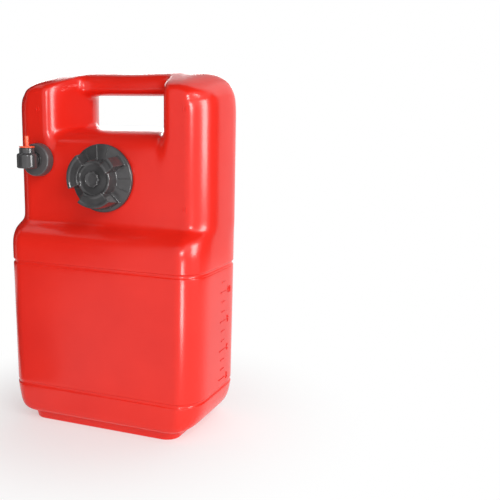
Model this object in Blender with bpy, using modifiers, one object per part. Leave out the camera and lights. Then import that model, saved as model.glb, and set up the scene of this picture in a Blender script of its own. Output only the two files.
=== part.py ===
"""Portable outboard fuel tank, modelled as an assembly of its separate pieces.

Metres, +Z up, front face towards -Y. The origin is the middle of the flat underside of the foot.
The hollow shell stands on its foot and carries two spouts on its upper front face: a wide one
under the winged filler cap, and a narrow one under the fuel fitting with its swivel elbow.
"""
from math import cos, pi, radians, sin, sqrt

import bmesh
import bpy
from mathutils import Matrix

# Overall sizes of the shell
TANK_HEIGHT = 0.468
UPPER_HALF_WIDTH = 0.143
LOWER_DRAFT = 0.0022
LOWER_FRONT_Y = -0.0757
UPPER_FRONT_Y = -0.0475
BACK_Y = 0.0757
WALL = 0.003
FRONT_CORNER_RADIUS = 0.035
BACK_CORNER_RADIUS = 0.030
OUTLINE_CORNER_RADIUS = 0.032
TOP_EDGE_RADIUS = 0.018
BOTTOM_EDGE_RADIUS = 0.010

# Foot under the shell
FOOT_HEIGHT = 0.010
FOOT_SIDE_INSET = 0.030
FOOT_END_INSET = 0.0112
FOOT_DRAFT = 0.004
FOOT_CORNER_RADIUS = 0.018

# Two moulded grooves run round the lower body
LOWER_GROOVE_RISE = 0.042
UPPER_GROOVE_DROP = 0.016
GROOVE_HALF_WIDTH = 0.0035
GROOVE_DEPTH = 0.0036

# Shoulder between the deep lower body and the shallow upper body
SHOULDER_CLEARANCE = 0.015
SHOULDER_HEIGHT = 0.040
SHOULDER_BLEND = 0.014

# Handle: a slot under a grip, in recesses that are open at the front, the back and the top
GRIP_THICKNESS = 0.027
GRIP_FRONT_SETBACK = 0.0555
GRIP_BACK_SETBACK = 0.0257
GRIP_SHOULDER = 0.007
GRIP_SAG = 0.0015
EAR_WIDTH = 0.057
RECESS_WALL_RUN = 0.021
RECESS_FLOOR_DROP = 0.013
HOLE_HEIGHT = 0.042
HOLE_CORNER_RADIUS = 0.014
HOLE_FRONT_SETBACK = 0.0675
HOLE_BACK_SETBACK = 0.0347
HOLE_LIP = 0.0012

# Where the recess walls stand between the slot (0) and the rim of the recess (1)
RING_WIDTH_SHARES = (0.0, 0.24, 0.62, 1.33)
RING_DEPTH_SHARES = (1.0, 0.63, 0.22, 0.0)
RING_FLOOR_SHARES = (0.0, 0.12, 0.62, 1.7)
RINGS = (0, 1, 2, 3)
EAR_RING = 4
RIM_LOOPS = 5

# Shares that place the control points of a rounded corner on the flats beside it
CORNER_START_SHARE = 0.58
CORNER_INSET_SHARE = 0.19
RIM_DEPTH_SHARES = (0.35, 0.68)
SLOT_COLUMN_SHARE = 0.7
BODY_ROW_SHARE = 0.5
SHOULDER_ROW_SHARES = ((0.0, 0.0), (0.45, 0.0), (0.75, 0.34), (0.86, 0.84), (1.0, 1.0))

# Smoothing of the shell, clearances and facets
SHELL_LEVELS = 1
CAVITY_LEVELS = 1
FLATNESS = radians(1.2)
CAVITY_FLATNESS = radians(3.0)
MERGE = 0.00001
OVERRUN = 0.004
GAP = 0.0003
ROUND_STEPS = 48
SMALL_STEPS = 24
HIDDEN_STEPS = 16
ARC_PROFILE_SHARE = 0.5
FOOT_CORNER_SEGMENTS = 4

# Filler spout; heights are measured out from the upper front face
FILLER_X = -0.001
FILLER_DROP = 0.064
SPOUT_BORE_RADIUS = 0.017
SPOUT_WALL = 0.0025
SPOUT_HEIGHT = 0.016

# Threaded liner, gasket and splash baffle inside the cap
LINER_WALL = 0.0024
LINER_DISC = 0.0025
LINER_LIFT = 0.002
GASKET_THICKNESS = 0.0016
GASKET_LIP = 0.0013
BAFFLE_RADIUS = 0.013
BAFFLE_DEPTH = 0.006
BAFFLE_WALL = 0.0014
BAFFLE_SLOTS = 4
BAFFLE_SLOT_WIDTH = 0.004

# Grip of the cap: flange, sloping floor, core, two wide wings and a narrow one
CAP_CORE_WALL = 0.0022
CAP_CORE_DRAFT = 0.0014
CAP_FLOOR_WIDTH = 0.0165
CAP_FLOOR_RISE = 0.0037
CAP_FLANGE_WIDTH = 0.0025
CAP_FLANGE_HEIGHT = 0.0058
CAP_BASE_LIFT = 0.0008
CAP_SKIN = 0.0022
CAP_HUB_WALL = 0.003
CAP_HUB_INSET = 0.0041
CAP_HUB_RIM = 0.0012
CAP_WING_RISE = 0.006
CAP_WING_SETBACK = 0.002
CAP_WING_DRAFT = 0.003
CAP_WING_OVERLAP = 0.001
CAP_WING_EDGE = 0.0012
CAP_WING_RIM = 0.0026
CAP_WING_DISH = 0.0007
CAP_AXIS_ANGLE = radians(38.5)
CAP_WING_SPREAD = radians(125)
CAP_WING_ANGLE = radians(76)
CAP_TAB_WIDTH = 0.0135
WEDGE_CORNER_SHARES = (-0.5, -0.17, 0.17, 0.5)
CAP_RIB_COUNT = 15
CAP_FIRST_RIB = radians(2)
CAP_RIB_WIDTH = 0.0012
CAP_RIB_HEIGHT = 0.0007

# Vent screw in the middle of the cap
VENT_KNOB_RADIUS = 0.0105
VENT_KNOB_THICKNESS = 0.0036
VENT_KNOB_LOBE = 0.0009
VENT_KNOB_LOBES = 10
VENT_LOBE_STEPS = 4
VENT_SHAFT_RADIUS = 0.0028
VENT_CLEARANCE = 0.0005
VENT_SEAL_RADIUS = 0.0072
VENT_SEAL_THICKNESS = 0.0014
VENT_SHAFT_REACH = 0.009

# Fuel fitting: spout, nut, gasket and the body that the nut clamps
FITTING_SIDE_INSET = 0.045
FITTING_RISE = 0.0206
FITTING_SPOUT_BORE = 0.0125
FITTING_SPOUT_WALL = 0.0043
FITTING_SPOUT_HEIGHT = 0.0055
NUT_WALL = 0.0052
NUT_DRAFT = 0.0008
NUT_LIFT = 0.0008
NUT_FRONT_WALL = 0.0024
NUT_EDGE = 0.0012
SEAT_GASKET_THICKNESS = 0.0014
FLANGE_THICKNESS = 0.0018
BARREL_BORE = 0.0085
BARREL_WALL = 0.002
BARREL_BORE_DEPTH = 0.009
SPIGOT_CLEARANCE = 0.0033
SPIGOT_REACH = 0.020
FLOW_BORE = 0.0033

# Pickup tube and its strainer inside the tank
TUBE_BORE = 0.0036
TUBE_WALL = 0.0012
TUBE_SOCKET_DEPTH = 0.012
TUBE_END_CLEARANCE = 0.012
STRAINER_ROOM = 0.0025
STRAINER_WALL = 0.0012
STRAINER_NOSE = 0.0015
STRAINER_COLLAR = 0.004
STRAINER_LENGTH = 0.020
STRAINER_BACK_CLEARANCE = 0.003
STRAINER_SLOTS = 8
STRAINER_SLOT_WIDTH = 0.0022
STRAINER_SLOT_LENGTH = 0.011

# Swivel elbow with its upright socket; heights are measured up from the swivel axis
ELBOW_CLEARANCE = 0.0012
ELBOW_RISE = 0.0159
ELBOW_FLOOR = 0.003
ELBOW_EDGE = 0.0012
ELBOW_SHOULDER_RUN = 0.0022
NECK_LENGTH = 0.009
NECK_WALL = 0.0036
COLLAR_WALL = 0.0068
SOCKET_BORE = 0.0062
SOCKET_DEPTH = 0.023
ARM_RADIUS = 0.0085
ARM_OVERLAP = 0.0045
PIVOT_WALL = 0.0025
ORING_DEPTH = 0.004
ORING_SIDES = 8

# Check valve inside the socket
SEAT_CLEARANCE = 0.001
SEAT_HEIGHT = 0.004
SEAT_BORE = 0.0031
BALL_OVERSIZE = 0.0009
BALL_RINGS = 10
SPRING_INSET = 0.001
SPRING_WIRE = 0.0004
SPRING_TURNS = 4
SPRING_STEPS = 12

# Shipping plug in the socket
PLUG_FLANGE_INSET = 0.0002
PLUG_FLANGE_THICKNESS = 0.002
PLUG_STEM_RADIUS = 0.0027
PLUG_STEM_RISE = 0.0155
PLUG_CLEARANCE = 0.0004
PLUG_SPIGOT_LENGTH = 0.0055
PLUG_ROUND = 0.0007

# Places on the shell that follow from its sizes
HOLE_TOP_Z = TANK_HEIGHT - GRIP_THICKNESS
HOLE_BOTTOM_Z = HOLE_TOP_Z - HOLE_HEIGHT
RECESS_HALF_WIDTH = UPPER_HALF_WIDTH - EAR_WIDTH
HOLE_HALF_WIDTH = RECESS_HALF_WIDTH - RECESS_WALL_RUN
HOLE_FRONT_Y = UPPER_FRONT_Y + HOLE_FRONT_SETBACK
HOLE_BACK_Y = BACK_Y - HOLE_BACK_SETBACK
GRIP_FRONT_Y = UPPER_FRONT_Y + GRIP_FRONT_SETBACK
GRIP_BACK_Y = BACK_Y - GRIP_BACK_SETBACK
FILLER_Z = HOLE_BOTTOM_Z - FILLER_DROP
FITTING_X = FITTING_SIDE_INSET - UPPER_HALF_WIDTH
FITTING_Z = FILLER_Z + FITTING_RISE

# Radii and heights of the cap, from the spout outwards
SPOUT_OUTER_RADIUS = SPOUT_BORE_RADIUS + SPOUT_WALL
GASKET_INNER_RADIUS = SPOUT_BORE_RADIUS - GASKET_LIP
LINER_BORE = SPOUT_OUTER_RADIUS + 2 * GAP
LINER_RADIUS = LINER_BORE + LINER_WALL
ROOM_RADIUS = LINER_RADIUS + GAP
INNER_ROOM_RADIUS = ROOM_RADIUS - LINER_DISC
CORE_RADIUS = ROOM_RADIUS + CAP_CORE_WALL
CORE_TOP_RADIUS = CORE_RADIUS - CAP_CORE_DRAFT
FLOOR_RADIUS = CORE_RADIUS + CAP_FLOOR_WIDTH
CAP_BASE_RADIUS = FLOOR_RADIUS + CAP_FLANGE_WIDTH
HUB_RADIUS = CORE_TOP_RADIUS - CAP_HUB_INSET
WING_INNER_RADIUS = HUB_RADIUS + CAP_WING_OVERLAP
WING_BASE_RADIUS = FLOOR_RADIUS - CAP_WING_SETBACK
WING_RADIUS = WING_BASE_RADIUS - CAP_WING_DRAFT
VENT_BORE_RADIUS = VENT_SHAFT_RADIUS + VENT_CLEARANCE
GASKET_BOTTOM = SPOUT_HEIGHT + GAP
DISC_BOTTOM = GASKET_BOTTOM + GASKET_THICKNESS + GAP
DISC_TOP = DISC_BOTTOM + LINER_DISC
ROOM_TOP = DISC_TOP + GAP
FLOOR_TOP = CAP_FLANGE_HEIGHT + CAP_FLOOR_RISE
HUB_HEIGHT = ROOM_TOP + CAP_HUB_WALL
CAP_HEIGHT = HUB_HEIGHT + CAP_WING_RISE
KNOB_BOTTOM = HUB_HEIGHT + GAP + VENT_SEAL_THICKNESS + GAP
KNOB_TOP = KNOB_BOTTOM + VENT_KNOB_THICKNESS

# Shoulder and grooves, below the cap
SHOULDER_TOP_Z = FILLER_Z - CAP_BASE_RADIUS - SHOULDER_CLEARANCE
SHOULDER_BOTTOM_Z = SHOULDER_TOP_Z - SHOULDER_HEIGHT
GROOVE_HEIGHTS = (FOOT_HEIGHT + LOWER_GROOVE_RISE, SHOULDER_BOTTOM_Z - UPPER_GROOVE_DROP)

# Radii and heights of the fuel fitting
FITTING_SPOUT_RADIUS = FITTING_SPOUT_BORE + FITTING_SPOUT_WALL
FLANGE_RADIUS = FITTING_SPOUT_RADIUS - GAP
NUT_RADIUS = FITTING_SPOUT_RADIUS + NUT_WALL
NUT_TOP_RADIUS = NUT_RADIUS - NUT_DRAFT
BARREL_RADIUS = BARREL_BORE + BARREL_WALL
SPIGOT_RADIUS = FITTING_SPOUT_BORE - SPIGOT_CLEARANCE
TUBE_RADIUS = TUBE_BORE + TUBE_WALL
STRAINER_BORE = TUBE_RADIUS + STRAINER_ROOM
STRAINER_RADIUS = STRAINER_BORE + STRAINER_WALL
FLANGE_BOTTOM = FITTING_SPOUT_HEIGHT + GAP + SEAT_GASKET_THICKNESS + GAP
FLANGE_TOP = FLANGE_BOTTOM + FLANGE_THICKNESS
NUT_HEIGHT = FLANGE_TOP + GAP + NUT_FRONT_WALL
BARREL_TOP = NUT_HEIGHT + GAP
BARREL_FLOOR = BARREL_TOP - BARREL_BORE_DEPTH
TUBE_SEAT = TUBE_SOCKET_DEPTH - SPIGOT_REACH
TUBE_END = UPPER_FRONT_Y - BACK_Y + WALL + TUBE_END_CLEARANCE
STRAINER_END = UPPER_FRONT_Y - BACK_Y + WALL + STRAINER_BACK_CLEARANCE

# Radii and heights of the elbow and what is in its socket
NECK_RADIUS = SOCKET_BORE + NECK_WALL
ELBOW_RADIUS = SOCKET_BORE + COLLAR_WALL
PIVOT_RADIUS = FLOW_BORE + PIVOT_WALL
ELBOW_REACH = BARREL_TOP + ELBOW_CLEARANCE + ELBOW_RADIUS
ELBOW_Y = UPPER_FRONT_Y - ELBOW_REACH
SOCKET_FLOOR = ELBOW_RISE - SOCKET_DEPTH
ELBOW_BOTTOM = SOCKET_FLOOR - ELBOW_FLOOR
NECK_FOOT = ELBOW_RISE - NECK_LENGTH + ELBOW_SHOULDER_RUN
SEAT_TOP = ELBOW_RISE - PLUG_SPIGOT_LENGTH - SEAT_CLEARANCE
SEAT_BOTTOM = SEAT_TOP - SEAT_HEIGHT
BALL_RADIUS = SEAT_BORE + BALL_OVERSIZE
SPRING_RADIUS = BALL_RADIUS - SPRING_INSET
BALL_HEIGHT = SEAT_BOTTOM - sqrt(BALL_RADIUS ** 2 - SEAT_BORE ** 2) - GAP
PLUG_SPIGOT_RADIUS = SOCKET_BORE - PLUG_CLEARANCE
PLUG_FLANGE_RADIUS = NECK_RADIUS - PLUG_FLANGE_INSET

COLOURS = {
    "red_hdpe": (0.80, 0.035, 0.025),
    "black_plastic": (0.045, 0.045, 0.045),
    "black_rubber": (0.02, 0.02, 0.02),
    "natural_plastic": (0.72, 0.70, 0.64),
    "steel": (0.60, 0.60, 0.60),
    "orange_plastic": (1.0, 0.14, 0.05),
}
METAL = ("steel",)
RUBBER_ROUGHNESS = 0.8
PLASTIC_ROUGHNESS = 0.35
SMOOTH_ANGLE = radians(35)


def fresh_scene():
    """Remove what the scene holds and make the two collections."""
    for item in list(bpy.data.objects):
        bpy.data.objects.remove(item, do_unlink=True)
    parts = bpy.data.collections.new("outboard_fuel_tank")
    cutters = bpy.data.collections.new("cutters")
    bpy.context.scene.collection.children.link(parts)
    bpy.context.scene.collection.children.link(cutters)
    return parts, cutters


PARTS, CUTTERS = fresh_scene()


def finish_material(name, kind):
    """A Principled material for one piece, in one of the named colours."""
    material = bpy.data.materials.new(name)
    material.use_nodes = True
    shader = material.node_tree.nodes["Principled BSDF"]
    shader.inputs["Base Color"].default_value = (*COLOURS[kind], 1.0)
    shader.inputs["Metallic"].default_value = 1.0 if kind in METAL else 0.0
    shader.inputs["Roughness"].default_value = (
        RUBBER_ROUGHNESS if kind == "black_rubber" else PLASTIC_ROUGHNESS)
    return material


def make_part(name, mesh, kind):
    """Put a mesh in the parts collection with its own material."""
    piece = bpy.data.objects.new(name, mesh)
    mesh.materials.append(finish_material(name + "_finish", kind))
    PARTS.objects.link(piece)
    return piece


def make_cutter(name, mesh):
    """Put a mesh in the cutters collection, drawn as wire and left out of renders."""
    piece = bpy.data.objects.new(name, mesh)
    piece.hide_render = True
    piece.display_type = "WIRE"
    CUTTERS.objects.link(piece)
    return piece


def combine(piece, other, operation):
    """Join, cut or intersect a piece with another object."""
    boolean = piece.modifiers.new(operation.lower() + "_" + other.name, "BOOLEAN")
    boolean.operation = operation
    boolean.solver = "EXACT"
    boolean.object = other


def profile_mesh(name, points, closed):
    """A chain of edges in the XZ plane, from (radius, height) points."""
    mesh = bpy.data.meshes.new(name)
    count = len(points)
    edges = [(i, i + 1) for i in range(count - 1)]
    if closed:
        edges.append((count - 1, 0))
    mesh.from_pydata([(radius, 0.0, height) for radius, height in points], edges, [])
    return mesh


def turn(piece, steps):
    """Spin an object's profile round its own Z axis."""
    screw = piece.modifiers.new("turn", "SCREW")
    screw.steps = steps
    screw.render_steps = steps
    screw.use_merge_vertices = True
    screw.merge_threshold = MERGE
    screw.use_normal_calculate = False


def face_forward(piece, x, z):
    """Place a turned piece on the upper front face, its own +Z pointing to the front."""
    piece.location = (x, UPPER_FRONT_Y, z)
    piece.rotation_euler = (pi / 2, 0.0, 0.0)


def turned_part(name, points, kind, steps, closed=True):
    """A turned part; the profile runs down its outer side, then up its inner side."""
    piece = make_part(name, profile_mesh(name, points, closed), kind)
    turn(piece, steps)
    return piece


def turned_cutter(name, points, steps, closed=False):
    """A turned cutter, made the same way."""
    piece = make_cutter(name, profile_mesh(name, points, closed))
    turn(piece, steps)
    return piece


def rod(radius, bottom, top):
    """The open profile of a plain rod, from its top centre to its bottom centre."""
    return [(0.0, top), (radius, top), (radius, bottom), (0.0, bottom)]


def smooth_by_angle(mesh):
    """Shade a mesh smooth, with sharp edges kept."""
    mesh.shade_smooth()
    mesh.set_sharp_from_angle(angle=SMOOTH_ANGLE)


class ShellForm:
    """Control points of the shell, or of its cavity when inset by the wall."""

    def __init__(self, inset, grooves):
        self.inset = inset
        self.top = TANK_HEIGHT - inset
        self.bottom = FOOT_HEIGHT + inset
        self.outline_radius = OUTLINE_CORNER_RADIUS - inset
        self.hole_bottom = HOLE_BOTTOM_Z - inset
        self.hole_top = HOLE_TOP_Z + inset
        self.rows = self.make_rows(grooves)
        self.columns = self.make_columns()

    def make_rows(self, grooves):
        """Heights of the rows, each with its front, its groove depth and its ring."""
        low_front = LOWER_FRONT_Y + self.inset
        high_front = UPPER_FRONT_Y + self.inset
        rows = [(self.bottom + CORNER_START_SHARE * BOTTOM_EDGE_RADIUS, low_front, 0.0, None)]
        for height in GROOVE_HEIGHTS if grooves else ():
            rows.append((height - GROOVE_HALF_WIDTH, low_front, 0.0, None))
            rows.append((height, low_front, GROOVE_DEPTH, None))
            rows.append((height + GROOVE_HALF_WIDTH, low_front, 0.0, None))
        middle = GROOVE_HEIGHTS[0] + BODY_ROW_SHARE * (GROOVE_HEIGHTS[1] - GROOVE_HEIGHTS[0])
        rows.append((middle, low_front, 0.0, None))
        if not grooves:
            rows.append((self.bottom + 2 * OUTLINE_CORNER_RADIUS, low_front, 0.0, None))
        step = high_front - low_front
        for rise_share, step_share in SHOULDER_ROW_SHARES:
            height = SHOULDER_BOTTOM_Z + rise_share * SHOULDER_HEIGHT - self.inset
            rows.append((height, low_front + step_share * step, 0.0, None))
        rows.append((SHOULDER_TOP_Z + SHOULDER_BLEND, high_front, 0.0, None))
        rows.append((FILLER_Z, high_front, 0.0, None))
        for ring in reversed(RINGS):
            height = self.hole_bottom - RING_FLOOR_SHARES[ring] * RECESS_FLOOR_DROP
            rows.append((height, high_front, 0.0, ring))
        rows.append((HOLE_BOTTOM_Z + HOLE_CORNER_RADIUS, high_front, 0.0, 0))
        rows.append((HOLE_TOP_Z - HOLE_CORNER_RADIUS, high_front, 0.0, 0))
        rows.append((self.hole_top, high_front, 0.0, 0))
        rows.append((self.hole_top + GRIP_SHOULDER, high_front, 0.0, -1))
        rows.append((self.top - CORNER_START_SHARE * TOP_EDGE_RADIUS, high_front, 0.0, -1))
        return sorted(rows, key=lambda row: row[0])

    def make_columns(self):
        """Distances of the columns from the middle, each with its ring."""
        slot = HOLE_HALF_WIDTH + self.inset
        columns = [(0.0, 0), (SLOT_COLUMN_SHARE * slot, 0)]
        for ring in RINGS:
            columns.append((slot + RING_WIDTH_SHARES[ring] * RECESS_WALL_RUN, ring))
        columns.append((UPPER_HALF_WIDTH - OUTLINE_CORNER_RADIUS, EAR_RING))
        last = UPPER_HALF_WIDTH - self.inset - CORNER_START_SHARE * FRONT_CORNER_RADIUS
        columns.append((last, EAR_RING))
        return columns

    def half_width(self, height):
        """Half the width at a height: the lower body is drafted towards the foot."""
        fall = max(0.0, SHOULDER_BOTTOM_Z - height) / SHOULDER_BOTTOM_Z
        return UPPER_HALF_WIDTH - LOWER_DRAFT * fall - self.inset

    def sheet_y(self, side, column, row):
        """Depth of a control point on the front (0) or the back (1) sheet."""
        x, column_ring = self.columns[column]
        height, front, groove, row_ring = self.rows[row]
        face = front if side == 0 else BACK_Y - self.inset
        sign = 1 if side == 0 else -1
        hole = HOLE_FRONT_Y if side == 0 else HOLE_BACK_Y
        grip = GRIP_FRONT_Y if side == 0 else GRIP_BACK_Y
        hole += sign * self.inset
        grip += sign * self.inset
        if row_ring is None or column_ring == EAR_RING:
            return face + sign * groove
        if row_ring == -1 and column_ring == 0:
            return grip
        ring = max(column_ring, row_ring)
        return face + RING_DEPTH_SHARES[ring] * (hole - face)

    def sheet_point(self, side, column, row):
        """A control point on the front or the back sheet."""
        x, column_ring = self.columns[column]
        height, front, groove, row_ring = self.rows[row]
        y = self.sheet_y(side, column, row)
        spread = self.half_width(height) / (UPPER_HALF_WIDTH - self.inset)
        if column_ring == EAR_RING:
            x *= spread
        last_column = column == len(self.columns) - 1
        if last_column and side == 1:
            x += CORNER_START_SHARE * (FRONT_CORNER_RADIUS - BACK_CORNER_RADIUS)
        if last_column and row in (0, len(self.rows) - 1):
            x -= CORNER_INSET_SHARE * (self.outline_radius / 2)
            height -= CORNER_INSET_SHARE * (self.outline_radius / 2) * (1 if row else -1)
        if column == 0 and row_ring == -1:
            height -= GRIP_SAG
        return (x, y, height)

    def rim_point(self, loop, column, row):
        """A control point on the rim between the sheets; the first and last loops are the sheets' edges."""
        if loop == 0:
            return self.sheet_point(0, column, row)
        if loop == RIM_LOOPS:
            return self.sheet_point(1, column, row)
        x, front, height = self.sheet_point(0, column, row)
        back = self.sheet_point(1, column, row)[1]
        groove = self.rows[row][2]
        side = column == len(self.columns) - 1
        top = row == len(self.rows) - 1
        bottom = row == 0
        inset = CORNER_INSET_SHARE * self.outline_radius
        front_start = CORNER_START_SHARE * FRONT_CORNER_RADIUS
        back_start = CORNER_START_SHARE * BACK_CORNER_RADIUS
        if not side:
            edge = TOP_EDGE_RADIUS if top else BOTTOM_EDGE_RADIUS
            front_start = back_start = CORNER_START_SHARE * edge
        depths = (front + front_start, front + RIM_DEPTH_SHARES[0] * (back - front),
                  front + RIM_DEPTH_SHARES[1] * (back - front), back - back_start)
        y = depths[loop - 1]
        if side:
            x = self.half_width(self.rows[row][0]) - groove
        if top:
            height = self.top
        if bottom:
            height = self.bottom
        if side and (top or bottom):
            x -= inset
            height -= inset if top else -inset
        if top and column == 0:
            height -= GRIP_SAG
        return (x, y, height)

    def in_hole(self, column, row):
        """Whether the cell above and outside a control point is part of the slot."""
        inside = self.columns[column + 1][0] <= HOLE_HALF_WIDTH + self.inset + MERGE
        low = self.rows[row][0] >= self.hole_bottom - MERGE
        high = self.rows[row + 1][0] <= self.hole_top + MERGE
        return inside and low and high

    def mesh(self, name):
        """The right half of the form, open at the middle plane."""
        cage = bmesh.new()
        points = {}

        def point(loop, column, row):
            key = (loop, column, row)
            if key not in points:
                points[key] = cage.verts.new(self.rim_point(loop, column, row))
            return points[key]

        columns = len(self.columns)
        rows = len(self.rows)
        for column in range(columns - 1):
            for row in range(rows - 1):
                if self.in_hole(column, row):
                    continue
                corners = ((column, row), (column + 1, row), (column + 1, row + 1), (column, row + 1))
                cage.faces.new([point(0, *corner) for corner in corners])
                cage.faces.new([point(RIM_LOOPS, *corner) for corner in reversed(corners)])
        path = [(column, 0) for column in range(columns)]
        path += [(columns - 1, row) for row in range(1, rows)]
        path += [(column, rows - 1) for column in range(columns - 2, -1, -1)]
        for start, end in zip(path, path[1:]):
            for loop in range(RIM_LOOPS):
                cage.faces.new((point(loop, *start), point(loop + 1, *start),
                                point(loop + 1, *end), point(loop, *end)))
        self.bridge_hole(cage, point)
        mesh = bpy.data.meshes.new(name)
        cage.to_mesh(mesh)
        cage.free()
        mesh.shade_smooth()
        return mesh

    def bridge_hole(self, cage, point):
        """The walls of the slot, between the two sheets, with a raised middle."""
        edge = 2
        low = min(row for row in range(len(self.rows) - 1) if self.in_hole(0, row))
        high = max(row for row in range(len(self.rows) - 1) if self.in_hole(0, row)) + 1
        path = [(column, low) for column in range(edge + 1)]
        path += [(edge, row) for row in range(low + 1, high + 1)]
        path += [(column, high) for column in range(edge - 1, -1, -1)]
        middles = {}
        for column, row in path:
            x, front, height = self.sheet_point(0, column, row)
            back = self.sheet_point(1, column, row)[1]
            x -= HOLE_LIP if column == edge else 0.0
            height += HOLE_LIP if row == low else -HOLE_LIP if row == high else 0.0
            middles[column, row] = cage.verts.new((x, (front + back) / 2, height))
        for start, end in zip(path, path[1:]):
            near = (point(0, *start), point(0, *end))
            far = (point(RIM_LOOPS, *start), point(RIM_LOOPS, *end))
            middle = (middles[start], middles[end])
            cage.faces.new((near[1], middle[1], middle[0], near[0]))
            cage.faces.new((middle[1], far[1], far[0], middle[0]))


def smooth_shell(piece, levels, flatness):
    """Mirror a half form, round it and merge what is flat."""
    mirror = piece.modifiers.new("other_half", "MIRROR")
    mirror.use_clip = True
    mirror.merge_threshold = MERGE
    rounding = piece.modifiers.new("rounding", "SUBSURF")
    rounding.levels = levels
    rounding.render_levels = levels
    flat = piece.modifiers.new("flats", "DECIMATE")
    flat.decimate_type = "DISSOLVE"
    flat.angle_limit = flatness
    piece.modifiers.new("triangles", "TRIANGULATE")


def stubs_mesh(name, stubs):
    """Round stubs on the upper front face, each from a low to a high lift above it."""
    mesh = bpy.data.meshes.new(name)
    cage = bmesh.new()
    for x, z, radius, low, high in stubs:
        middle = Matrix.Translation((x, UPPER_FRONT_Y - (low + high) / 2, z))
        place = middle @ Matrix.Rotation(pi / 2, 4, "X")
        bmesh.ops.create_cone(cage, cap_ends=True, segments=ROUND_STEPS, radius1=radius, radius2=radius,
                              depth=high - low, matrix=place)
    cage.to_mesh(mesh)
    cage.free()
    return mesh


def foot_mesh(name, inset, top):
    """The drafted block under the shell, with rounded upright edges."""
    mesh = bpy.data.meshes.new(name)
    cage = bmesh.new()
    bmesh.ops.create_cube(cage, size=2.0)
    upright = [edge for edge in cage.edges if edge.verts[0].co.z != edge.verts[1].co.z]
    for vertex in cage.verts:
        upper = vertex.co.z > 0
        half_width = UPPER_HALF_WIDTH - FOOT_SIDE_INSET - (0.0 if upper else FOOT_DRAFT) - inset
        front = LOWER_FRONT_Y + FOOT_END_INSET + inset
        back = BACK_Y - FOOT_END_INSET - inset
        vertex.co.x *= half_width
        vertex.co.y = back if vertex.co.y > 0 else front
        vertex.co.z = top if upper else inset
    bmesh.ops.bevel(cage, geom=upright, offset=FOOT_CORNER_RADIUS - inset,
                    segments=FOOT_CORNER_SEGMENTS, profile=ARC_PROFILE_SHARE, affect="EDGES")
    cage.to_mesh(mesh)
    cage.free()
    smooth_by_angle(mesh)
    return mesh


def build_tank():
    """The hollow blow-moulded shell with its foot and its two spouts."""
    shell = make_part("tank_shell", ShellForm(0.0, True).mesh("tank_shell"), "red_hdpe")
    smooth_shell(shell, SHELL_LEVELS, FLATNESS)
    foot = make_cutter("foot_block", foot_mesh("foot_block", 0.0, FOOT_HEIGHT + OVERRUN))
    combine(shell, foot, "UNION")
    spouts = make_cutter("spouts", stubs_mesh("spouts", (
        (FILLER_X, FILLER_Z, SPOUT_OUTER_RADIUS, -WALL / 2, SPOUT_HEIGHT),
        (FITTING_X, FITTING_Z, FITTING_SPOUT_RADIUS, -WALL / 2, FITTING_SPOUT_HEIGHT))))
    combine(shell, spouts, "UNION")
    cavity = make_cutter("cavity", ShellForm(WALL, False).mesh("cavity"))
    smooth_shell(cavity, CAVITY_LEVELS, CAVITY_FLATNESS)
    foot_room = make_cutter("foot_room", foot_mesh("foot_room", WALL, FOOT_HEIGHT + WALL + OVERRUN))
    combine(cavity, foot_room, "UNION")
    combine(shell, cavity, "DIFFERENCE")
    passages = make_cutter("passages", stubs_mesh("passages", (
        (FILLER_X, FILLER_Z, SPOUT_BORE_RADIUS, -WALL - OVERRUN, SPOUT_HEIGHT + OVERRUN),
        (FITTING_X, FITTING_Z, FITTING_SPOUT_BORE, -WALL - OVERRUN, FITTING_SPOUT_HEIGHT + OVERRUN))))
    combine(shell, passages, "DIFFERENCE")
    return shell


def wedge_mesh(name, angle, centres, reach, bottom, top, inner):
    """Upright wedges round the Z axis, one at each centre angle."""
    mesh = bpy.data.meshes.new(name)
    cage = bmesh.new()
    for centre in centres:
        low = []
        high = []
        outline = [(inner, WEDGE_CORNER_SHARES[0])]
        outline += [(reach, share) for share in WEDGE_CORNER_SHARES]
        outline.append((inner, WEDGE_CORNER_SHARES[-1]))
        for radius, share in outline:
            heading = centre + share * angle
            low.append(cage.verts.new((radius * cos(heading), radius * sin(heading), bottom)))
            high.append(cage.verts.new((radius * cos(heading), radius * sin(heading), top)))
        cage.faces.new(list(reversed(low)))
        cage.faces.new(high)
        for i in range(len(low)):
            j = (i + 1) % len(low)
            cage.faces.new((low[i], low[j], high[j], high[i]))
    cage.to_mesh(mesh)
    cage.free()
    return mesh


def spoke_mesh(name, count, first, width, inner, outer, bottom, top):
    """Boxes that stand like spokes round the Z axis."""
    mesh = bpy.data.meshes.new(name)
    cage = bmesh.new()
    for i in range(count):
        turned = Matrix.Rotation(first + i * 2 * pi / count, 4, "Z")
        middle = Matrix.Translation(((inner + outer) / 2, 0.0, (bottom + top) / 2))
        size = Matrix.Diagonal((outer - inner, width, top - bottom, 1.0))
        bmesh.ops.create_cube(cage, size=1.0, matrix=turned @ middle @ size)
    cage.to_mesh(mesh)
    cage.free()
    return mesh


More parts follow.
